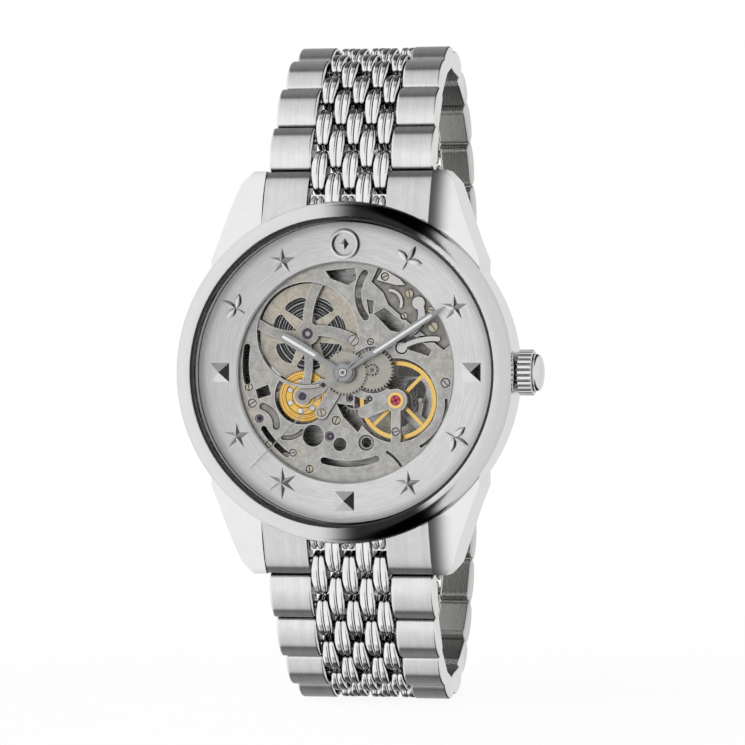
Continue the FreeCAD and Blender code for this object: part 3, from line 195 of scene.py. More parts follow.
# hands, in millimetres: stations are (share of the length, half width), a hub is (outer and inner
# radius), and an inlay is (start and end as shares of the length, half width)
HANDS = {
    "hour": {
        "stations": ((0.0, 0.30), (0.33, 0.30), (0.38, 0.42), (0.46, 0.52), (0.62, 0.60),
                     (0.78, 0.56), (0.86, 0.46), (0.93, 0.25), (1.0, 0.02)),
        "hub": (1.28, 0.87),
        "inlay": (0.41, 0.84, 0.17),
    },
    "minute": {
        "stations": ((0.0, 0.27), (0.24, 0.26), (0.30, 0.36), (0.36, 0.41), (0.70, 0.44),
                     (0.84, 0.38), (0.92, 0.22), (1.0, 0.02)),
        "hub": (1.10, 0.51),
        "inlay": (0.31, 0.86, 0.14),
    },
}
HAND_RIDGE = 0.05 * MM

# figures of the dial. A leaf is (turn in degrees, then length, half width and height in mm)
MARKER_CIRCLE = 15.0 * MM
DIAL_FRONT = -8.6 * MM
STAR_REACH = 1.66 * MM
STAR_HEIGHT = 0.40 * MM
STUD_SIDE = 2.28 * MM
STUD_HEIGHT = 0.75 * MM
DIAMOND_REACH = (0.72 * MM, 0.509 * MM)
DIAMOND_HEIGHT = 0.5 * MM
RING_RADIUS = 1.53 * MM
RING_HALF_WIDTH = 0.30 * MM
RING_HEIGHT = 0.50 * MM
LEAF_ROWS = 13
LEAVES = ((0.0, 1.95, 0.36, 0.46), (72.0, 1.75, 0.46, 0.40), (-72.0, 1.75, 0.46, 0.40),
          (180.0, 1.25, 0.13, 0.28))


# ---- node helpers ----

def add(tree, kind, inputs=None, **settings):
    """Adds a node. inputs maps an input's name or number to a value or to a node's output."""
    made = tree.nodes.new(kind)
    for key, value in settings.items():
        setattr(made, key, value)
    for key, value in (inputs or {}).items():
        socket = made.inputs[key]
        if isinstance(value, bpy.types.NodeSocket):
            tree.links.new(value, socket)
        else:
            socket.default_value = value
    return made


def result(tree, operation, first, second=0.0, third=0.0):
    """The output of a Math node."""
    made = add(tree, "ShaderNodeMath", {0: first, 1: second, 2: third}, operation=operation)
    return made.outputs[0]


def product(tree, first, *others):
    """Two or more values multiplied."""
    total = first
    for value in others:
        total = result(tree, "MULTIPLY", total, value)
    return total


def size_of(tree, value):
    """A value without its sign."""
    return result(tree, "ABSOLUTE", value)


def distance(tree, across, along):
    """The length of the long side of a right-angled triangle."""
    squares = result(tree, "ADD", product(tree, across, across), product(tree, along, along))
    return result(tree, "SQRT", squares)


def ramp(tree, value, low, high, out_low=0.0, out_high=1.0):
    """The value carried smoothly from one range to another."""
    made = add(tree, "ShaderNodeMapRange",
               {"Value": value, "From Min": low, "From Max": high, "To Min": out_low,
                "To Max": out_high}, interpolation_type="SMOOTHSTEP")
    return made.outputs[0]


def mix_number(tree, share, first, second):
    """Two numbers mixed."""
    made = add(tree, "ShaderNodeMix", {0: share, 2: first, 3: second}, data_type="FLOAT")
    return made.outputs[0]


def mix_colour(tree, share, first, second, blend="MIX"):
    """Two colours mixed. A colour is three numbers or an output."""
    made = add(tree, "ShaderNodeMix", data_type="RGBA", blend_type=blend)
    for index, value in ((0, share), (6, first), (7, second)):
        socket = made.inputs[index]
        if isinstance(value, bpy.types.NodeSocket):
            tree.links.new(value, socket)
        elif index == 0:
            socket.default_value = value
        else:
            socket.default_value = (*value, 1.0)
    return made.outputs[2]


def shaded(tree, colour, level):
    """A colour made darker or lighter by a level."""
    grey = add(tree, "ShaderNodeCombineColor", {0: level, 1: level, 2: level}).outputs[0]
    return mix_colour(tree, 1.0, colour, grey, "MULTIPLY")


def place(tree, origin=(0.0, 0.0, 0.0)):
    """A point of the object at rest, measured from an origin, then its x, y and z."""
    source = add(tree, "ShaderNodeTexCoord").outputs["Object"]
    moved = add(tree, "ShaderNodeVectorMath", {0: source, 1: origin}, operation="SUBTRACT")
    parts = add(tree, "ShaderNodeSeparateXYZ", {0: moved.outputs[0]})
    return moved.outputs[0], parts.outputs[0], parts.outputs[1], parts.outputs[2]


def middle_of(node):
    """The middle of a CAD node's box, with y left at 0."""
    low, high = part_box(node)
    return ((low.x + high.x) / 2, 0.0, (low.z + high.z) / 2)


def facing(tree):
    """The x, y and z of the way the surface faces at rest."""
    source = add(tree, "ShaderNodeTexCoord").outputs["Normal"]
    return add(tree, "ShaderNodeSeparateXYZ", {0: source}).outputs


def noise(tree, point, scale, detail=3.0, rough=0.55):
    """Noise about 0.5. scale is one number, or one for each axis."""
    scales = scale if isinstance(scale, tuple) else (scale, scale, scale)
    stretched = add(tree, "ShaderNodeVectorMath", {0: point, 1: scales}, operation="MULTIPLY")
    made = add(tree, "ShaderNodeTexNoise",
               {"Vector": stretched.outputs[0], "Scale": 1.0, "Detail": detail, "Roughness": rough})
    return made.outputs[0]


def hairlines(tree, point):
    """The fine scratches of a polished surface."""
    return noise(tree, point, (2600.0, 2600.0, 9000.0), 6.0, 0.75)


def polar_point(tree, x, y, z, around=1.0, outward=1.0):
    """A point of (angle, radius, y) about the y axis for noise that runs round or out.

    Its first two parts are stretched by around and outward. The plain radius and angle follow it.
    """
    radius = distance(tree, x, z)
    angle = result(tree, "ARCTAN2", x, z)
    joined = add(tree, "ShaderNodeCombineXYZ",
                 {0: product(tree, angle, around), 1: product(tree, radius, outward), 2: y})
    return joined.outputs[0], radius, angle


def worn(tree, point, colour, amount=0.06, scale=900.0):
    """A colour with soft cloudy patches in it."""
    share = ramp(tree, noise(tree, point, scale, 4.0), 0.3, 0.7)
    darker = tuple(c * (1.0 - amount) for c in colour)
    lighter = tuple(min(1.0, c * (1.0 + amount)) for c in colour)
    return mix_colour(tree, share, darker, lighter)


def occlusion(tree, reach, inside=False):
    """How open the surface is, from 0 in a crevice to 1. inside finds outer edges instead."""
    made = add(tree, "ShaderNodeAmbientOcclusion", {"Distance": reach}, samples=10, inside=inside,
               only_local=inside)
    return made.outputs["AO"]


def brushing(tree, axis):
    """The direction of brushing that runs round an axis."""
    return add(tree, "ShaderNodeTangent", direction_type="RADIAL", axis=axis).outputs[0]


def new_material(name):
    """An empty node-based material, and its tree."""
    made = bpy.data.materials.new(name)
    made.use_nodes = True
    tree = made.node_tree
    tree.nodes.clear()
    return made, tree


def finish_surface(tree, shader):
    """Ends a material's tree with this shader."""
    out = add(tree, "ShaderNodeOutputMaterial")
    tree.links.new(shader, out.inputs["Surface"])


def surface(tree, inputs, height, bump, bevel=0.0, reach=0.02 * MM):
    """A Principled surface with a relief, and with softened edges if there is a bevel."""
    shader = add(tree, "ShaderNodeBsdfPrincipled", inputs)
    relief = add(tree, "ShaderNodeBump", {"Strength": bump, "Distance": reach, "Height": height})
    if bevel:
        softened = add(tree, "ShaderNodeBevel", {"Radius": bevel}, samples=4)
        tree.links.new(softened.outputs[0], relief.inputs["Normal"])
    tree.links.new(relief.outputs[0], shader.inputs["Normal"])
    finish_surface(tree, shader.outputs[0])


# ---- materials of the case and the bracelet ----

def brushed_steel(name, colour, rough, lines, bevel=BEVEL_STEEL):
    """Satin steel. lines is how fast the brushing changes along x, y and z, per metre."""
    made, tree = new_material(name)
    point = place(tree)[0]
    streak = noise(tree, point, lines, 5.0, 0.7)
    fine = noise(tree, point, tuple(4.0 * v for v in lines), 2.0)
    both = result(tree, "MULTIPLY_ADD", fine, 0.4, product(tree, streak, 0.6))
    shade = ramp(tree, both, 0.3, 0.7, 0.90, 1.06)
    base = shaded(tree, worn(tree, point, colour, 0.015), shade)
    roughness = ramp(tree, both, 0.3, 0.7, rough - 0.06, rough + 0.08)
    surface(tree, {"Base Color": base, "Metallic": 1.0, "Roughness": roughness,
                   "Anisotropic": 0.55, "Tangent": brushing(tree, "X")}, both, 0.25, bevel)
    return made


def satin_blocks(tree, point, steep):
    """The colour of the side blocks, and their brushing. steep is how far they face up or down;
    there the colour is painted darker, a painted reflection of the room's dark ends.
    """
    streak = noise(tree, point, (8000.0, 110.0, 110.0), 5.0, 0.7)
    broad = noise(tree, point, (1300.0, 30.0, 30.0), 3.0, 0.6)
    shade = product(tree, ramp(tree, streak, 0.3, 0.7, 0.93, 1.05),
                    ramp(tree, broad, 0.35, 0.65, 0.96, 1.03))
    # painted reflection: the blocks darken where they face up or down
    steep_shade = product(tree, ramp(tree, steep, 0.10, 0.62, 1.04, 0.86),
                   ramp(tree, steep, 0.62, 0.70, 1.0, 0.30))
    return shaded(tree, worn(tree, point, SATIN, 0.03), product(tree, shade, steep_shade)), streak


def polished_beads(tree, steel, steep):
    """The colour of the beads: steel, with painted shade nearly black in the gaps, and a painted
    dark reflection at their steep tips.
    """
    crevice = ramp(tree, occlusion(tree, 0.9 * MM), 0.30, 0.70, 0.03, 1.0)
    tip = ramp(tree, steep, 0.72, 0.80, 1.0, 0.04)
    return shaded(tree, steel, product(tree, crevice, tip))


def bracelet_steel():
    """Rows of links: polished beads out to BEAD_REACH from the middle, then satin side blocks.

    The blocks' left and right sides are polished. The inside of the bracelet is painted darker
    and warmer as painted shade, and surfaces that face up or down are painted dark as a painted
    reflection of the room's dark ends.
    """
    made, tree = new_material("bracelet_steel")
    point, x, y, z = place(tree)
    faces_x, faces_y, faces_z = facing(tree)
    steep = size_of(tree, faces_z)
    block = ramp(tree, size_of(tree, x), BEAD_REACH - 0.02 * MM, BEAD_REACH + 0.02 * MM)
    satin_share = product(tree, block, ramp(tree, size_of(tree, faces_x), 0.55, 0.8, 1.0, 0.0))
    satin, streak = satin_blocks(tree, point, steep)
    scratch = noise(tree, point, (4000.0, 1500.0, 1500.0), 5.0, 0.75)
    steel = worn(tree, point, POLISHED, 0.04)
    base = mix_colour(tree, block, polished_beads(tree, steel, steep), steel)
    base = mix_colour(tree, satin_share, base, satin)
    # painted shade on the inside of the bracelet
    wrist_side = product(tree, ramp(tree, y, *WRIST_SIDE), 0.85)
    base = mix_colour(tree, wrist_side, base, INNER_BRACELET_SHADE)
    roughness = mix_number(tree, satin_share, ramp(tree, scratch, 0.45, 0.8, 0.06, 0.14),
                           ramp(tree, streak, 0.3, 0.7, 0.24, 0.34))
    height = mix_number(tree, satin_share, scratch, streak)
    relief = result(tree, "MULTIPLY_ADD", satin_share, 0.13, 0.03)
    surface(tree, {"Base Color": base, "Metallic": 1.0, "Roughness": roughness}, height, relief,
            BEVEL_STEEL)
    return made


def bezel_material():
    """Polished ring with a soft painted dark reflection right of 12 o'clock and right of 6 o'clock,
    and painted shade in its crevices.
    """
    made, tree = new_material("bezel_polish")
    point, x, y, z = place(tree)
    scratch = hairlines(tree, point)
    rise = result(tree, "MAXIMUM", size_of(tree, z), 1.0 * MM)
    lean = result(tree, "DIVIDE", x, rise)
    dark = product(tree, ramp(tree, lean, -0.22, 0.16), ramp(tree, lean, 0.50, 0.82, 1.0, 0.0))
    crevice = ramp(tree, occlusion(tree, 0.35 * MM), 0.3, 0.8, 0.15, 1.0)
    level = product(tree, crevice, ramp(tree, dark, 0.0, 1.0, 1.0, 0.035))
    base = shaded(tree, worn(tree, point, BEZEL_STEEL, 0.012), level)
    surface(tree, {"Base Color": base, "Metallic": 1.0,
                   "Roughness": ramp(tree, scratch, 0.45, 0.75, 0.10, 0.18)}, scratch, 0.03,
            BEVEL_FINE)
    return made


def case_material():
    """Polished case: nearly white, with painted shade in its crevices and a painted dark reflection
    beside the right end links.
    """
    made, tree = new_material("case_polish")
    point, x, y, z = place(tree)
    scratch = hairlines(tree, point)
    lug = ramp(tree, size_of(tree, z), *LUG_RISE)
    beside = ramp(tree, x, *LUG_SPREAD, 1.0, 0.0)
    right = ramp(tree, x, 0.0, 1.0 * MM)
    dark = product(tree, lug, beside, right)
    crevice = ramp(tree, occlusion(tree, 0.5 * MM), 0.3, 0.8, 0.2, 1.0)
    level = product(tree, crevice, ramp(tree, dark, 0.0, 1.0, 1.0, 0.10))
    base = shaded(tree, worn(tree, point, POLISHED, 0.012), level)
    surface(tree, {"Base Color": base, "Metallic": 1.0,
                   "Roughness": ramp(tree, scratch, 0.45, 0.75, 0.12, 0.22)}, scratch, 0.04,
            BEVEL_STEEL)
    return made


def case_back_material():
    """Steel brushed in circles about the hands' axis."""
    made, tree = new_material("case_back_steel")
    point, x, y, z = place(tree)
    round_point = polar_point(tree, x, y, z, 6.0, 9000.0)[0]
    rings = noise(tree, round_point, (1.0, 1.0, 200.0), 4.0, 0.7)
    shade = ramp(tree, rings, 0.25, 0.75, 0.9, 1.06)
    base = shaded(tree, worn(tree, point, CLASP_STEEL, 0.03), shade)
    surface(tree, {"Base Color": base, "Metallic": 1.0,
                   "Roughness": ramp(tree, rings, 0.3, 0.7, 0.21, 0.33),
                   "Anisotropic": 0.5, "Tangent": brushing(tree, "Y")}, rings, 0.2, BEVEL_STEEL)
    return made


def polished_metal(name, colour, rough=0.09, crevice_level=1.0):
    """Mirror-polished metal with hairline scratches, and painted shade in its grooves down to
    crevice_level.
    """
    made, tree = new_material(name)
    point = place(tree)[0]
    scratch = hairlines(tree, point)
    cloud = noise(tree, point, 500.0)
    roughness = result(tree, "ADD", ramp(tree, scratch, 0.45, 0.75, rough - 0.03, rough + 0.07),
                       ramp(tree, cloud, 0.3, 0.7, 0.0, 0.04))
    crevice = ramp(tree, occlusion(tree, 0.5 * MM), 0.55, 0.85, crevice_level, 1.0)
    base = shaded(tree, worn(tree, point, colour, 0.03), crevice)
    surface(tree, {"Base Color": base, "Metallic": 1.0, "Roughness": roughness}, scratch, 0.04,
            BEVEL_FINE)
    return made


def rubber_material():
    """Black seals."""
    made, tree = new_material("rubber")
    grain = noise(tree, place(tree)[0], 6000.0, 4.0)
    base = mix_colour(tree, ramp(tree, grain, 0.3, 0.7), RUBBER_DARK, RUBBER_LIGHT)
    surface(tree, {"Base Color": base, "Roughness": ramp(tree, grain, 0.3, 0.7, 0.4, 0.65)},
            grain, 0.2)
    return made


def glass_material(name, clearness):
    """Sapphire: what lies behind shows through with a thin reflection. A clearness below 1 dims it
    as painted shade.
    """
    made, tree = new_material(name)
    smear = noise(tree, place(tree)[0], 120.0)
    tint = mix_colour(tree, smear, (0.985 * clearness,) * 3, (clearness,) * 3)
    clear = add(tree, "ShaderNodeBsdfTransparent", {0: tint})
    gloss = add(tree, "ShaderNodeBsdfGlossy",
                {"Color": (1.0, 1.0, 1.0, 1.0),
                 "Roughness": ramp(tree, smear, 0.3, 0.7, 0.01, 0.05)})
    edge_on = add(tree, "ShaderNodeLayerWeight", {"Blend": 0.12}).outputs["Fresnel"]
    both = add(tree, "ShaderNodeMixShader",
               {0: product(tree, edge_on, 0.35), 1: clear.outputs[0], 2: gloss.outputs[0]})
    finish_surface(tree, both.outputs[0])
    return made


# ---- materials of the dial and the hands ----

def dial_material():
    """Silvered dial: circular brushing, painted light brighter to the lower right, and painted
    shade at its outer edge.
    """
    made, tree = new_material("dial_silver")
    point, x, y, z = place(tree)
    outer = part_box("dial_ring")[1].x
    round_point, radius, angle = polar_point(tree, x, y, z, 4.0, 5200.0)
    rings = noise(tree, round_point, (1.0, 1.0, 100.0), 5.0, 0.8)
    fine = noise(tree, round_point, (3.0, 4.0, 100.0), 2.0)
    both = result(tree, "MULTIPLY_ADD", fine, 0.35, product(tree, rings, 0.65))
    shade = ramp(tree, both, 0.38, 0.62, 0.84, 1.06)
    edge = ramp(tree, radius, outer * 0.93, outer, 1.0, 0.62)
    side = ramp(tree, result(tree, "SUBTRACT", x, product(tree, z, 0.5)), -outer, outer * 0.7,
                0.84, 1.0)
    level = product(tree, shade, product(tree, edge, side))
    base = shaded(tree, worn(tree, point, DIAL_SILVER, 0.02, 400.0), level)
    surface(tree, {"Base Color": base, "Metallic": 0.85,
                   "Roughness": ramp(tree, both, 0.3, 0.7, 0.34, 0.48)}, both, 0.18, BEVEL_FINE)
    return made


def marker_material(name, softness=0.0, right_colour=FACET_RIGHT):
    """Polished facets with painted light and shade by the way they face: white below, light to the
    left, grey above, darkest to the right, and painted shade in their crevices.

    softness widens the steps between the shades, for rounded shapes.
    """
    made, tree = new_material(name)
    point = place(tree)[0]
    faces_x, faces_y, faces_z = facing(tree)
    right = ramp(tree, faces_x, 0.12, 0.40 + softness)
    upward = ramp(tree, faces_z, 0.15, 0.5 + softness)
    downward = ramp(tree, faces_z, -0.5, -0.15, 1.0, 0.0)
    base = mix_colour(tree, downward, FACET_LEFT, FACET_DOWN)
    base = mix_colour(tree, upward, base, FACET_UP)
    base = mix_colour(tree, right, base, right_colour)
    base = shaded(tree, base, ramp(tree, occlusion(tree, 0.25 * MM), 0.3, 0.7, 0.35, 1.0))
    scratch = noise(tree, point, 3000.0, 4.0)
    surface(tree, {"Base Color": base, "Metallic": 0.25,
                   "Roughness": ramp(tree, scratch, 0.3, 0.7, 0.12, 0.22)}, scratch, 0.03)
    return made


def hand_material():
    """Grey grained steel of the hands."""
    made, tree = new_material("hand_grey")
    grain = noise(tree, place(tree)[0], 5000.0)
    base = mix_colour(tree, ramp(tree, grain, 0.3, 0.7), tuple(0.88 * c for c in HAND_GREY),
                      HAND_GREY)
    surface(tree, {"Base Color": base, "Metallic": 0.9,
                   "Roughness": ramp(tree, grain, 0.3, 0.7, 0.25, 0.36)}, grain, 0.03,
            BEVEL_FINE)
    return made


def inlay_material():
    """The pale filling of the hands."""
    made, tree = new_material("hand_inlay")
    grain = noise(tree, place(tree)[0], 9000.0)
    base = mix_colour(tree, ramp(tree, grain, 0.3, 0.7), INLAY_DARK, INLAY_LIGHT)
    surface(tree, {"Base Color": base, "Roughness": ramp(tree, grain, 0.3, 0.7, 0.4, 0.6)},
            grain, 0.2)
    return made


# ---- materials of the movement ----

def nickel_plate(name, colour, stipple=9000.0, relief=0.3, rough=0.36, tint_share=0.3, pocket=1.0):
    """Grained nickel with warm stains, painted shade in its crevices, and painted highlights on
    its polished bevelled edges.

    pocket is the level of the painted shade on surfaces that lie deeper than the front of the
    plate.
    """
    made, tree = new_material(name)
    point, x, y, z = place(tree)
    grain = noise(tree, point, stipple, 3.0, 0.7)
    cells = add(tree, "ShaderNodeTexVoronoi",
                {"Vector": point, "Scale": 1100.0, "Randomness": 0.25}, feature="F1")
    rings = result(tree, "SINE", product(tree, cells.outputs["Distance"], 38.0))
    stain = ramp(tree, noise(tree, point, 240.0, 4.0), 0.45, 0.75, 0.0, tint_share)
    base = mix_colour(tree, stain, worn(tree, point, colour, 0.04, 700.0), BRASS)
    patches = ramp(tree, noise(tree, point, 900.0, 6.0, 0.85), 0.36, 0.64, 0.8, 1.2)
    open_share = ramp(tree, occlusion(tree, 0.45 * MM), 0.50, 0.97, 0.03, 1.0)
    deep = ramp(tree, y, PLATE_FRONT + 0.05 * MM, PLATE_FRONT + 0.30 * MM, 1.0, pocket)
    speckle = ramp(tree, grain, 0.35, 0.6, 0.88, 1.0)
    level = product(tree, product(tree, patches, open_share), product(tree, speckle, deep))
    edge = ramp(tree, occlusion(tree, 0.14 * MM, inside=True), 0.45, 0.90, 0.95, 0.0)
    base = mix_colour(tree, edge, shaded(tree, base, level), PLATE_EDGE_HIGHLIGHT)
    surface(tree, {"Base Color": base, "Metallic": 0.9,
                   "Roughness": ramp(tree, grain, 0.3, 0.7, rough - 0.08, rough + 0.12)},
            result(tree, "MULTIPLY_ADD", rings, 0.10, grain), relief, BEVEL_FINE)
    return made


def striped_plate(name, colour):
    """Rear bridge and rotor: wide watchmaker's stripes over fine grain."""
    made, tree = new_material(name)
    point, x, y, z = place(tree)
    across = result(tree, "ADD", product(tree, x, 1700.0), product(tree, z, 900.0))
    stripe = result(tree, "SINE", across)
    grain = noise(tree, point, (800.0, 4000.0, 9000.0), 4.0)
    base = shaded(tree, worn(tree, point, colour), ramp(tree, stripe, -1.0, 1.0, 0.78, 1.08))
    height = result(tree, "MULTIPLY_ADD", stripe, 0.5, grain)
    surface(tree, {"Base Color": base, "Metallic": 1.0,
                   "Roughness": ramp(tree, grain, 0.3, 0.7, 0.22, 0.36)}, height, 0.25,
            BEVEL_FINE)
    return made


def round_metal(name, colour, node, rough):
    """A wheel's metal, turned in fine circles about the wheel's own axis, with painted shade in its
    crevices.
    """
    made, tree = new_material(name)
    point, x, y, z = place(tree, middle_of(node))
    rings = noise(tree, polar_point(tree, x, y, z, 3.0, 9000.0)[0], (0.6, 0.6, 0.0), 3.0, 0.6)
    shade = product(tree, ramp(tree, rings, 0.3, 0.7, 0.88, 1.06),
                    ramp(tree, occlusion(tree, 0.35 * MM), 0.30, 0.80, 0.10, 1.0))
    base = shaded(tree, worn(tree, point, colour, 0.03), shade)
    surface(tree, {"Base Color": base, "Metallic": 1.0,
                   "Roughness": ramp(tree, rings, 0.3, 0.7, rough - 0.06, rough + 0.08)},
            rings, 0.03, BEVEL_FINE)
    return made


def grooved_gold(tree, rings, radius):
    """Turned gold with painted shade in the winding wheel's grooves."""
    gold = mix_colour(tree, ramp(tree, rings, 0.3, 0.7), DEEP_GOLD, GOLD)
    for groove, half in GROOVES:
        away = size_of(tree, result(tree, "SUBTRACT", radius, groove))
        share = ramp(tree, away, half * 0.6, half * 1.6, 0.9, 0.0)
        gold = mix_colour(tree, share, gold, GROOVE_SHADE)
    return gold


def ball_distance(tree, radius, angle):
    """How far a point of the winding wheel is from the middle of the nearest ball."""
    step = 2 * math.pi / BALL_COUNT
    turned = result(tree, "SUBTRACT", math.pi / 2 + 4 * math.pi, angle)
    off_ball = result(tree, "PINGPONG", turned, step / 2)
    return distance(tree, product(tree, off_ball, BALL_CIRCLE),
                    result(tree, "SUBTRACT", radius, BALL_CIRCLE))


def reverser_material():
    """Gilt winding wheel: turned gold, and seven white steel balls in a ring, with painted shade in
    its grooves, round the balls' seats and in its crevices.
    """
    made, tree = new_material("gilt_reverser")
    point, x, y, z = place(tree, (REVERSER[0], 0.0, REVERSER[1]))
    round_point, radius, angle = polar_point(tree, x, y, z, 3.0, 9000.0)
    rings = noise(tree, round_point, (1.0, 1.0, 300.0), 4.0)
    away = ball_distance(tree, radius, angle)
    ball = ramp(tree, y, *BALL_FRONT, 1.0, 0.0)
    seat = ramp(tree, away, BALL_RADIUS, BALL_RADIUS + 0.12 * MM, 0.85, 0.0)
    gold = mix_colour(tree, seat, grooved_gold(tree, rings, radius), BALL_SEAT_SHADE)
    base = mix_colour(tree, ball, gold, BALL_WHITE)
    base = shaded(tree, base, ramp(tree, occlusion(tree, 0.4 * MM), 0.2, 0.75, 0.2, 1.0))
    dome = ramp(tree, away, 0.0, BALL_RADIUS, 1.0, 0.0)
    surface(tree, {"Base Color": base, "Metallic": result(tree, "SUBTRACT", 1.0, ball),
                   "Roughness": ramp(tree, rings, 0.3, 0.7, 0.2, 0.32)}, dome, 0.9, BEVEL_FINE,
            0.12 * MM)
    return made


def jewel_material():
    """Synthetic ruby rings, dark purple. Those of the balance are red, in a gilt setting."""
    made, tree = new_material("jewel")
    point, x, y, z = place(tree, middle_of("balance_wheel"))
    round_point, radius, angle = polar_point(tree, x, y, z)
    near = ramp(tree, radius, *RED_JEWELS, 1.0, 0.0)
    setting = product(tree, near, ramp(tree, radius, *JEWEL_SETTING))
    cloud = noise(tree, point, 3000.0)
    purple = mix_colour(tree, cloud, PURPLE, PALE_PURPLE)
    petals = result(tree, "SINE", product(tree, angle, 4.0))
    red = mix_colour(tree, ramp(tree, petals, -0.5, 0.6), RUBY, PALE_RUBY)
    base = mix_colour(tree, setting, mix_colour(tree, near, purple, red), GOLD)
    surface(tree, {"Base Color": base, "Metallic": setting,
                   "Roughness": ramp(tree, cloud, 0.3, 0.7, 0.08, 0.2),
                   "Coat Weight": 0.6, "Coat Roughness": 0.05}, cloud, 0.05, BEVEL_FINE)
    return made


def screw_material():
    """Screw heads with dull flat tops, some warmer than the rest, painted highlights on their
    polished rims and painted shade round them.
    """
    made, tree = new_material("screw_steel")
    point = place(tree)[0]
    cloud = noise(tree, point, (330.0, 0.0, 330.0), 0.0)
    top = mix_colour(tree, ramp(tree, cloud, 0.42, 0.56), SCREW_GREY, SCREW_BEIGE)
    rim = ramp(tree, facing(tree)[1], -0.97, -0.85)
    base = mix_colour(tree, rim, top, SCREW_RIM_HIGHLIGHT)
    base = shaded(tree, base, ramp(tree, occlusion(tree, 0.3 * MM), 0.25, 0.85, 0.03, 1.0))
    scratch = noise(tree, point, (7000.0, 7000.0, 2500.0), 4.0)
    surface(tree, {"Base Color": base, "Metallic": 1.0,
                   "Roughness": ramp(tree, scratch, 0.3, 0.7, 0.14, 0.28)}, scratch, 0.08)
    return made


def spring_material():
    """Dark blued spring strip, its sides near black with painted shade between the coils. Its front
    edges carry painted glints in rings about the barrel.
    """
    made, tree = new_material("spring_dark")
    point, x, y, z = place(tree, middle_of("mainspring"))
    cloud = noise(tree, point, 1500.0)
    edge = ramp(tree, facing(tree)[1], -0.9, -0.5, 1.0, 0.0)
    turns = product(tree, distance(tree, x, z), 2 * math.pi / COIL_GLINT)
    glint = ramp(tree, result(tree, "SINE", turns), 0.1, 0.8)
    base = mix_colour(tree, edge, SHADED_BLUED_STEEL, mix_colour(tree, glint, COIL_DARK, COIL_LIGHT))
    surface(tree, {"Base Color": base, "Metallic": 0.9,
                   "Roughness": ramp(tree, cloud, 0.3, 0.7, 0.25, 0.42)}, cloud, 0.1)
    return made


# ---- mesh helpers ----

def new_piece(name, points, faces, material, body, smooth=False):
    """A mesh that rides on a CAD body and takes its finish from a material slot."""
    mesh = bpy.data.meshes.new(name)
    mesh.from_pydata([tuple(p) for p in points], [], faces)
    mesh.validate()
    mesh.update()
    made = bpy.data.objects.new(name, mesh)
    bpy.context.scene.collection.objects.link(made)
    made.data.materials.append(material)
    for face in mesh.polygons:
        face.use_smooth = smooth
    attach(made, body)
    return made


def lathe(name, profile, material, body, centre=(0.0, 0.0), steps=96):
    """A closed ring. profile is (radius, y) in metres, turned about the y line through centre."""
    points = []
    for i in range(steps):
        a = 2 * math.pi * i / steps
        for r, y in profile:
            points.append((centre[0] + r * math.sin(a), y, centre[1] + r * math.cos(a)))
    count = len(profile)
    faces = []
    for i in range(steps):
        j = (i + 1) % steps
        for k in range(count):
            m = (k + 1) % count
            faces.append((i * count + k, i * count + m, j * count + m, j * count + k))
    made = new_piece(name, points, faces, material, body, smooth=True)
    made.data.set_sharp_from_angle(angle=math.radians(30))


# ---- hands ----

def hand_direction(node):
    """The unit vector from the hands' axis to a hand's tip, and the tip's distance."""
    tip = max((v.co for v in NODES[node].data.vertices), key=lambda p: math.hypot(p.x, p.z))
    length = math.hypot(tip.x, tip.z)
    return Vector((tip.x / length, 0.0, tip.z / length)), length


def hand_blade(hand, material):
    """A blade with a raised spine, and the ring of its hub."""
    node, body = hand + "_hand", hand + "_train"
    along, length = hand_direction(node)
    side = Vector((along.z, 0.0, -along.x))
    low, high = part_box(node)
    front, back = low.y, high.y
    points = []
    for share, half_mm in HANDS[hand]["stations"]:
        half = half_mm * MM
        centre = along * (share * length)
        rise = HAND_RIDGE * min(1.0, half / (0.3 * MM))
        for offset, y in ((-1.0, back), (-1.0, front), (0.0, front - rise), (1.0, front),
                          (1.0, back)):
            points.append(centre + side * (offset * half) + Vector((0.0, y, 0.0)))
    last = len(points) - 5
    faces = []
    for first in range(0, last, 5):
        for k in range(5):
            m = (k + 1) % 5
            faces.append((first + k, first + 5 + k, first + 5 + m, first + m))
    faces.append((4, 3, 2, 1, 0))
    faces.append(tuple(last + k for k in range(5)))
    made = new_piece(hand + "_blade", points, faces, material, body)
    outer, inner = (r * MM for r in HANDS[hand]["hub"])
    hub = [(outer, back), (outer, front), (outer - 0.06 * MM, front - HAND_RIDGE),
           (inner, front - HAND_RIDGE), (inner, back)]
    lathe(hand + "_blade_hub", hub, material, body)
    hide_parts(node)


def hand_inlay(hand, material):
    """The pale strip let into a hand, with round ends."""
    start, end, half_mm = HANDS[hand]["inlay"]
    half = half_mm * MM
    along, length = hand_direction(hand + "_hand")
    side = Vector((along.z, 0.0, -along.x))
    hand_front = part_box(hand + "_hand")[0].y
    outline = []
    for sign, share in ((1.0, end), (-1.0, start)):
        for i in range(9):
            a = math.pi * (i / 8.0 - 0.5)
            reach = share * length + sign * half * math.cos(a)
            outline.append(along * reach + side * (sign * half * math.sin(a)))
    count = len(outline)
    top = [p + Vector((0.0, hand_front - HAND_RIDGE - 0.03 * MM, 0.0)) for p in outline]
    base = [p + Vector((0.0, hand_front + 0.02 * MM, 0.0)) for p in outline]
    faces = [tuple(range(count)), tuple(reversed(range(count, 2 * count)))]
    for i in range(count):
        j = (i + 1) % count
        faces.append((i, i + count, j + count, j))
    new_piece(hand + "_inlay", top + base, faces, material, hand + "_train")


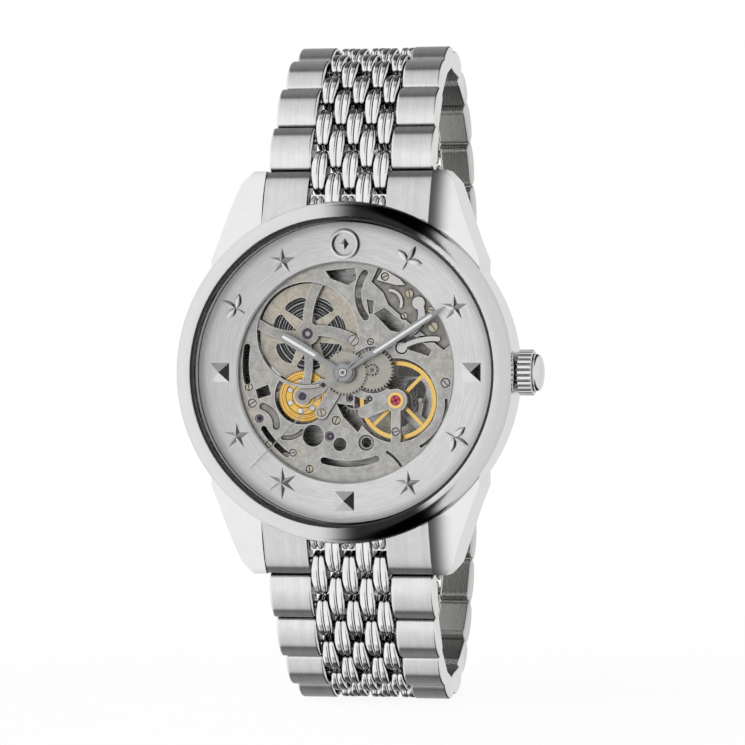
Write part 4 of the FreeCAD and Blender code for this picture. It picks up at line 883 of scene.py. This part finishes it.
def build_hands(grey, inlay, polish):
    """Ridged hour and minute hands with pale inlays, and the cap of the seconds hand."""
    for hand in HANDS:
        hand_blade(hand, grey)
    for hand in HANDS:
        hand_inlay(hand, inlay)
    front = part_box("seconds_hand")[0].y
    cap = [(0.42 * MM, front + 0.05 * MM), (0.40 * MM, front - 0.02 * MM),
           (0.30 * MM, front - 0.04 * MM), (0.30 * MM, front + 0.05 * MM)]
    lathe("seconds_cap", cap, polish, "seconds_train", steps=48)


# ---- screws ----

def welded(mesh):
    """A copy of a mesh in which corners that touch are one."""
    work = bmesh.new()
    work.from_mesh(mesh)
    bmesh.ops.remove_doubles(work, verts=work.verts, dist=0.0005 * MM)
    copy = bpy.data.meshes.new("welded")
    work.to_mesh(copy)
    work.free()
    return copy


def islands(mesh):
    """The separate solids of a mesh, each as a list of its points."""
    parent = list(range(len(mesh.vertices)))

    def root(i):
        while parent[i] != i:
            parent[i] = parent[parent[i]]
            i = parent[i]
        return i

    for edge in mesh.edges:
        a, b = root(edge.vertices[0]), root(edge.vertices[1])
        parent[max(a, b)] = min(a, b)
    groups = {}
    for vertex in mesh.vertices:
        groups.setdefault(root(vertex.index), []).append(vertex.co)
    return [groups[key] for key in sorted(groups)]


def corners(points):
    """The lowest and highest corners of some points."""
    low = Vector(tuple(min(p[k] for p in points) for k in range(3)))
    high = Vector(tuple(max(p[k] for p in points) for k in range(3)))
    return low, high


def half_head(centre, radius, turn, front):
    """Half of a slotted head, as three outlines: foot, shoulder and top."""
    points = []
    for r, y in ((radius, front + HEAD_HEIGHT), (radius, front + HEAD_BEVEL),
                 (radius - HEAD_BEVEL, front)):
        start = math.asin(min(1.0, HALF_SLOT / r))
        for i in range(HALF_HEAD_STEPS):
            a = start + (math.pi - 2 * start) * i / (HALF_HEAD_STEPS - 1)
            across, along = r * math.cos(a), r * math.sin(a)
            points.append(Vector((centre.x + across * math.cos(turn) - along * math.sin(turn), y,
                                  centre.z + across * math.sin(turn) + along * math.cos(turn))))
    return points


def half_head_faces(first):
    """The side, the bevel and the top of half a head whose points start at first."""
    faces = []
    for lower in (first, first + HALF_HEAD_STEPS):
        upper = lower + HALF_HEAD_STEPS
        for i in range(HALF_HEAD_STEPS):
            j = (i + 1) % HALF_HEAD_STEPS
            faces.append((lower + i, lower + j, upper + j, upper + i))
    faces.append(tuple(first + 2 * HALF_HEAD_STEPS + i for i in range(HALF_HEAD_STEPS)))
    return faces


def slot_floor(centre, radius, front):
    """The round floor that shows between the two halves of a head."""
    y = front + HEAD_HEIGHT - SLOT_FLOOR
    points = []
    for i in range(SLOT_FLOOR_STEPS):
        a = 2 * math.pi * i / SLOT_FLOOR_STEPS
        points.append(centre + Vector((0.98 * radius * math.cos(a), y,
                                       0.98 * radius * math.sin(a))))
    return points


def screw_heads(material):
    """Slotted heads with bevelled rims in the places of the plain ones."""
    points, faces = [], []
    for solid in islands(welded(NODES["screws"].data)):
        low, high = corners(solid)
        radius = (high.x - low.x) / 2
        if radius < SMALLEST_SCREW:
            continue
        centre = Vector(((low.x + high.x) / 2, 0.0, (low.z + high.z) / 2))
        turn = 37.0 * centre.x / MM + 53.0 * centre.z / MM
        for half_turn in (0.0, math.pi):
            faces += half_head_faces(len(points))
            points += half_head(centre, radius, turn + half_turn, low.y)
        faces.append(tuple(len(points) + i for i in range(SLOT_FLOOR_STEPS)))
        points += slot_floor(centre, radius, low.y)
    made = new_piece("screw_heads", points, faces, material, "watch_head")
    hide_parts("screws")


# ---- figures of the dial ----

def clock_direction(degrees):
    """The unit vector of the dial's plane at this many degrees clockwise from 12."""
    a = math.radians(degrees)
    return Vector((math.sin(a), 0.0, math.cos(a)))


def figure_place(hour):
    """The middle of an hour's figure."""
    return clock_direction(30.0 * hour) * MARKER_CIRCLE


def leaf_points(foot, along, length, half, height, level):
    """A cupped leaf with a raised midrib, as rows of five points from its foot to its tip."""
    side = Vector((along.z, 0.0, -along.x))
    points = []
    for i in range(LEAF_ROWS):
        t = i / (LEAF_ROWS - 1)
        wide = half * math.sin(math.pi * t) ** 0.75 * (1.15 - 0.3 * t)
        rise = height * (0.35 + 0.65 * math.sin(math.pi * t) ** 0.6)
        centre = foot + along * (t * length)
        points += [
            centre - side * wide + Vector((0.0, level, 0.0)),
            centre - side * (0.6 * wide) + Vector((0.0, level - 0.75 * rise, 0.0)),
            centre + Vector((0.0, level - rise, 0.0)),
            centre + side * (0.6 * wide) + Vector((0.0, level - 0.75 * rise, 0.0)),
            centre + side * wide + Vector((0.0, level, 0.0)),
        ]
    return points


def leaf_faces(first):
    """The faces of a leaf whose points start at first."""
    faces = []
    for row in range(LEAF_ROWS - 1):
        low = first + 5 * row
        for k in range(4):
            faces.append((low + k, low + k + 1, low + k + 6, low + k + 5))
        faces.append((low + 4, low, low + 5, low + 9))
    return faces


def leaf_sprig(hour, material):
    """Three cupped leaves on a short stem, over the sprig of an hour."""
    level = DIAL_FRONT + 0.02 * MM
    points, faces = [], []
    for turn, length, half, height in LEAVES:
        along = clock_direction(30.0 * hour + turn)
        faces += leaf_faces(len(points))
        points += leaf_points(figure_place(hour) + along * (0.02 * MM), along, length * MM,
                              half * MM, height * MM, level)
    made = new_piece("leaf_sprig_%02d" % hour, points, faces, material, "watch_head",
                     smooth=True)
    made.data.set_sharp_from_angle(angle=math.radians(50))


def twelve_ring(material):
    """A rounded ring over the plain ring at 12 o'clock."""
    centre = figure_place(0)
    profile = []
    for i in range(9):
        a = math.pi * i / 8
        profile.append((RING_RADIUS - RING_HALF_WIDTH * math.cos(a),
                        DIAL_FRONT + 0.02 * MM - RING_HEIGHT * math.sin(a)))
    lathe("twelve_ring", profile, material, "watch_head",
          (centre.x, centre.z), steps=72)


def facets(points, faces, outline, centre, height):
    """Adds facets that run from an outline on the dial up to one point over its centre."""
    first = len(points)
    level = Vector((0.0, DIAL_FRONT + 0.01 * MM, 0.0))
    points += [centre + p + level for p in outline]
    points.append(centre + level - Vector((0.0, height, 0.0)))
    apex = len(points) - 1
    for i in range(len(outline)):
        faces.append((first + i, first + (i + 1) % len(outline), apex))


def star_outline(tips, outer, inner):
    """A star with one tip up, reaching outer at its tips and inner between them."""
    outline = []
    for i in range(2 * tips):
        a = math.pi * i / tips
        reach = (outer, inner)[i % 2]
        outline.append(Vector((reach * math.sin(a), 0.0, reach * math.cos(a))))
    return outline


def dial_stars(material):
    """Faceted stars. The one at 7 o'clock is larger and has a sixth point."""
    points, faces = [], []
    five_points = star_outline(5, STAR_REACH, 0.38 * STAR_REACH)
    six_points = star_outline(6, 1.18 * STAR_REACH, 0.45 * STAR_REACH)
    for hour in (2, 5, 8, 11):
        facets(points, faces, five_points, figure_place(hour), STAR_HEIGHT)
    facets(points, faces, six_points, figure_place(7), STAR_HEIGHT)
    made = new_piece("dial_stars", points, faces, material, "watch_head")
    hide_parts("hour_markers")


def dial_studs(material):
    """Square pyramids at 3, 6 and 9 o'clock, and a small narrow diamond at 12."""
    points, faces = [], []
    half = STUD_SIDE / 2
    square = [Vector((x * half, 0.0, z * half)) for x, z in ((1, 1), (1, -1), (-1, -1), (-1, 1))]
    for hour in (3, 6, 9):
        facets(points, faces, square, figure_place(hour), STUD_HEIGHT)
    facets(points, faces, star_outline(2, *DIAMOND_REACH), figure_place(0), DIAMOND_HEIGHT)
    new_piece("dial_studs", points, faces, material, "watch_head")


def build_figures():
    """The twelve figures of the dial."""
    rounded = marker_material("figure_polish", 0.35)
    for hour in (1, 4, 10):
        leaf_sprig(hour, rounded)
    twelve_ring(rounded)
    dial_studs(marker_material("stud_polish"))
    dial_stars(marker_material("star_polish", 0.1, STAR_RIGHT))


# ---- finishing the CAD nodes ----

def dress(material, *names):
    """Gives CAD nodes one material."""
    for name in names:
        mesh = NODES[name].data
        mesh.materials.clear()
        mesh.materials.append(material)
        for face in mesh.polygons:
            face.material_index = 0


def smooth_nodes():
    """Round faces shade round and edges stay crisp."""
    for node in NODES.values():
        for face in node.data.polygons:
            face.use_smooth = True
        node.data.set_sharp_from_angle(angle=SHARP_ANGLE)


def dress_bracelet(polish):
    """End links, rows and clasp."""
    links = [name for name in NODES if "_row_" in name or name.startswith("end_link")]
    dress(bracelet_steel(), *links)
    dress(brushed_steel("clasp_steel", CLASP_STEEL, 0.28, (9000.0, 120.0, 120.0)),
          "clasp_cover", "clasp_blade_outer", "clasp_blade_inner")
    dress(polish, "clasp_button_left", "clasp_button_right")


def dress_case():
    """Case, bezel, crown, crystals, seals and dial."""
    dress(case_material(), "case_middle")
    dress(bezel_material(), "bezel")
    dress(case_back_material(), "case_back")
    dress(polished_metal("crown_polish", CROWN_STEEL, 0.12, 0.12), "crown")
    dress(glass_material("sapphire", 1.0), "crystal")
    # the back crystal's lower clearness is painted shade for the dark space behind the movement
    dress(glass_material("sapphire_back", 0.75), "back_crystal")
    dress(rubber_material(), "gaskets")
    dress(dial_material(), "dial_ring")


def dress_movement():
    """Plates, bridges, springs, wheels and jewels."""
    dress(nickel_plate("plate_nickel", NICKEL, pocket=0.60), "main_plate")
    dress(striped_plate("bridge_nickel", SHADED_BRIDGE_NICKEL), "movement_bridge")
    dress(striped_plate("rotor_nickel", PALE_NICKEL), "rotor")
    dress(nickel_plate("cock_nickel", PALE_NICKEL, relief=0.15, tint_share=0.1), "balance_cock")
    dress(nickel_plate("barrel_nickel", BEIGE_NICKEL, 5000.0, 0.15, 0.34), "barrel")
    dress(brushed_steel("lever_steel", LEVER_STEEL, 0.26, (5000.0, 900.0, 1500.0), BEVEL_FINE),
          "setting_levers")
    dress(polished_metal("stem_steel", STEM_STEEL, 0.16), "winding_stem")
    dress(polished_metal("fork_steel", FORK_STEEL, 0.16), "pallet_fork")
    dress(spring_material(), "mainspring", "hairspring")
    for name in WHEELS:
        dress(round_metal(name + "_metal", WHEEL_NICKEL, name, 0.34), name)
    dress(round_metal("gilt_balance", GOLD, "balance_wheel", 0.24), "balance_wheel")
    dress(reverser_material(), "reverser_wheel")
    dress(jewel_material(), "jewels")


def dress_all():
    """Materials for the CAD nodes, and the pieces that stand for some of them."""
    polish = polished_metal("polished_steel", POLISHED)
    grey = hand_material()
    dress_bracelet(polish)
    dress_case()
    dress_movement()
    screw_heads(screw_material())
    dress(grey, "seconds_hand")
    build_hands(grey, inlay_material(), polish)
    build_figures()


# ---- studio ----

def studio_light():
    """A white surround for the camera, while reflections see a pale room.

    The room has a dark panel over the watch and one under it. They stand a little to the right,
    where the polished bezel shows them at 1 and 5 o'clock.
    """
    world = bpy.data.worlds.new("studio")
    bpy.context.scene.world = world
    world.use_nodes = True
    tree = world.node_tree
    tree.nodes.clear()
    direction = add(tree, "ShaderNodeTexCoord").outputs["Generated"]
    x, y, z = add(tree, "ShaderNodeSeparateXYZ", {0: direction}).outputs
    rise = size_of(tree, z)
    lean = result(tree, "DIVIDE", x, result(tree, "MAXIMUM", rise, 0.05))
    off_centre = size_of(tree, result(tree, "SUBTRACT", lean, PANEL_LEAN))
    panel = product(tree, ramp(tree, off_centre, PANEL_HALF, PANEL_HALF + 0.28, 1.0, 0.0),
                    ramp(tree, rise, 0.26, 0.50))
    steep = product(tree, ramp(tree, rise, 0.93, 0.985), 0.6)
    dark = result(tree, "MAXIMUM", panel, steep)
    behind = ramp(tree, y, 0.1, 0.9, 1.0, 0.88)
    left = ramp(tree, x, -0.9, 0.8, 1.10, 0.90)
    room = product(tree, behind, left, ramp(tree, dark, 0.0, 1.0, ROOM_LEVEL, 0.02))
    seen = add(tree, "ShaderNodeLightPath").outputs["Is Camera Ray"]
    shader = add(tree, "ShaderNodeBackground",
                 {"Color": (1.0, 1.0, 1.0, 1.0), "Strength": mix_number(tree, seen, room, 1.0)})
    out = add(tree, "ShaderNodeOutputWorld")
    tree.links.new(shader.outputs[0], out.inputs["Surface"])


def softbox(name, position, side, power):
    """A square area lamp that points at the origin."""
    lamp = bpy.data.lights.new(name, "AREA")
    lamp.shape = "RECTANGLE"
    lamp.size, lamp.size_y = side, side
    lamp.energy = power
    made = bpy.data.objects.new(name, lamp)
    bpy.context.scene.collection.objects.link(made)
    made.location = position
    made.rotation_euler = (-Vector(position)).to_track_quat("-Z", "Y").to_euler()
    made.visible_glossy = False


def floor_material():
    """Pale floor that fades into the white surround away from the object."""
    made, tree = new_material("pale_floor")
    point, x, y, z = place(tree)
    grain = noise(tree, point, 300.0)
    pale = mix_colour(tree, grain, (0.985, 0.985, 0.985), (1.0, 1.0, 1.0))
    matt = add(tree, "ShaderNodeBsdfDiffuse", {"Color": pale})
    glow = add(tree, "ShaderNodeEmission", {"Color": pale, "Strength": 1.03})
    lit = add(tree, "ShaderNodeMixShader", {0: 0.90, 1: matt.outputs[0], 2: glow.outputs[0]})
    clear = add(tree, "ShaderNodeBsdfTransparent")
    fade = ramp(tree, distance(tree, x, y), FLOOR_RADIUS * 0.25, FLOOR_RADIUS * 0.95)
    both = add(tree, "ShaderNodeMixShader", {0: fade, 1: lit.outputs[0], 2: clear.outputs[0]})
    finish_surface(tree, both.outputs[0])
    return made


def floor():
    """A round pale floor just under the bracelet."""
    level = CAD_LOW.z - 0.05 * MM
    points = [(0.0, 0.0, level)]
    for i in range(FLOOR_STEPS):
        a = 2 * math.pi * i / FLOOR_STEPS
        points.append((FLOOR_RADIUS * math.cos(a), FLOOR_RADIUS * math.sin(a), level))
    faces = [(0, i + 1, (i + 1) % FLOOR_STEPS + 1) for i in range(FLOOR_STEPS)]
    mesh = bpy.data.meshes.new("floor")
    mesh.from_pydata(points, [], faces)
    mesh.materials.append(floor_material())
    made = bpy.data.objects.new("floor", mesh)
    bpy.context.scene.collection.objects.link(made)
    made.visible_glossy = False


def camera():
    """Level with the watch, a little to its right, with a long lens."""
    front = Vector((0.0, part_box("bezel")[0].y, 0.0))
    data = bpy.data.cameras.new("camera")
    data.lens = CAMERA_LENS
    data.sensor_width = SENSOR_WIDTH
    data.clip_start, data.clip_end = 0.01, 20.0
    made = bpy.data.objects.new("camera", data)
    bpy.context.scene.collection.objects.link(made)
    away = Vector((math.sin(CAMERA_TURN), -math.cos(CAMERA_TURN), 0.0))
    sideways = Vector((math.cos(CAMERA_TURN), math.sin(CAMERA_TURN), 0.0))
    made.location = front + CAMERA_DISTANCE * away
    aim = front + CAMERA_AIM_SHIFT * sideways
    made.rotation_euler = (aim - made.location).to_track_quat("-Z", "Y").to_euler()
    bpy.context.scene.camera = made


def studio():
    """Light, floor and camera, with plain colour handling."""
    studio_light()
    softbox("key", (-0.45, -0.45, 0.40), 0.5, 1.1)
    softbox("fill", (0.30, -0.42, -0.35), 0.4, 0.7)
    floor()
    camera()
    view = bpy.context.scene.view_settings
    view.view_transform = "Standard"
    view.look = "None"
    view.exposure = 0.0


smooth_nodes()
dress_all()
studio()
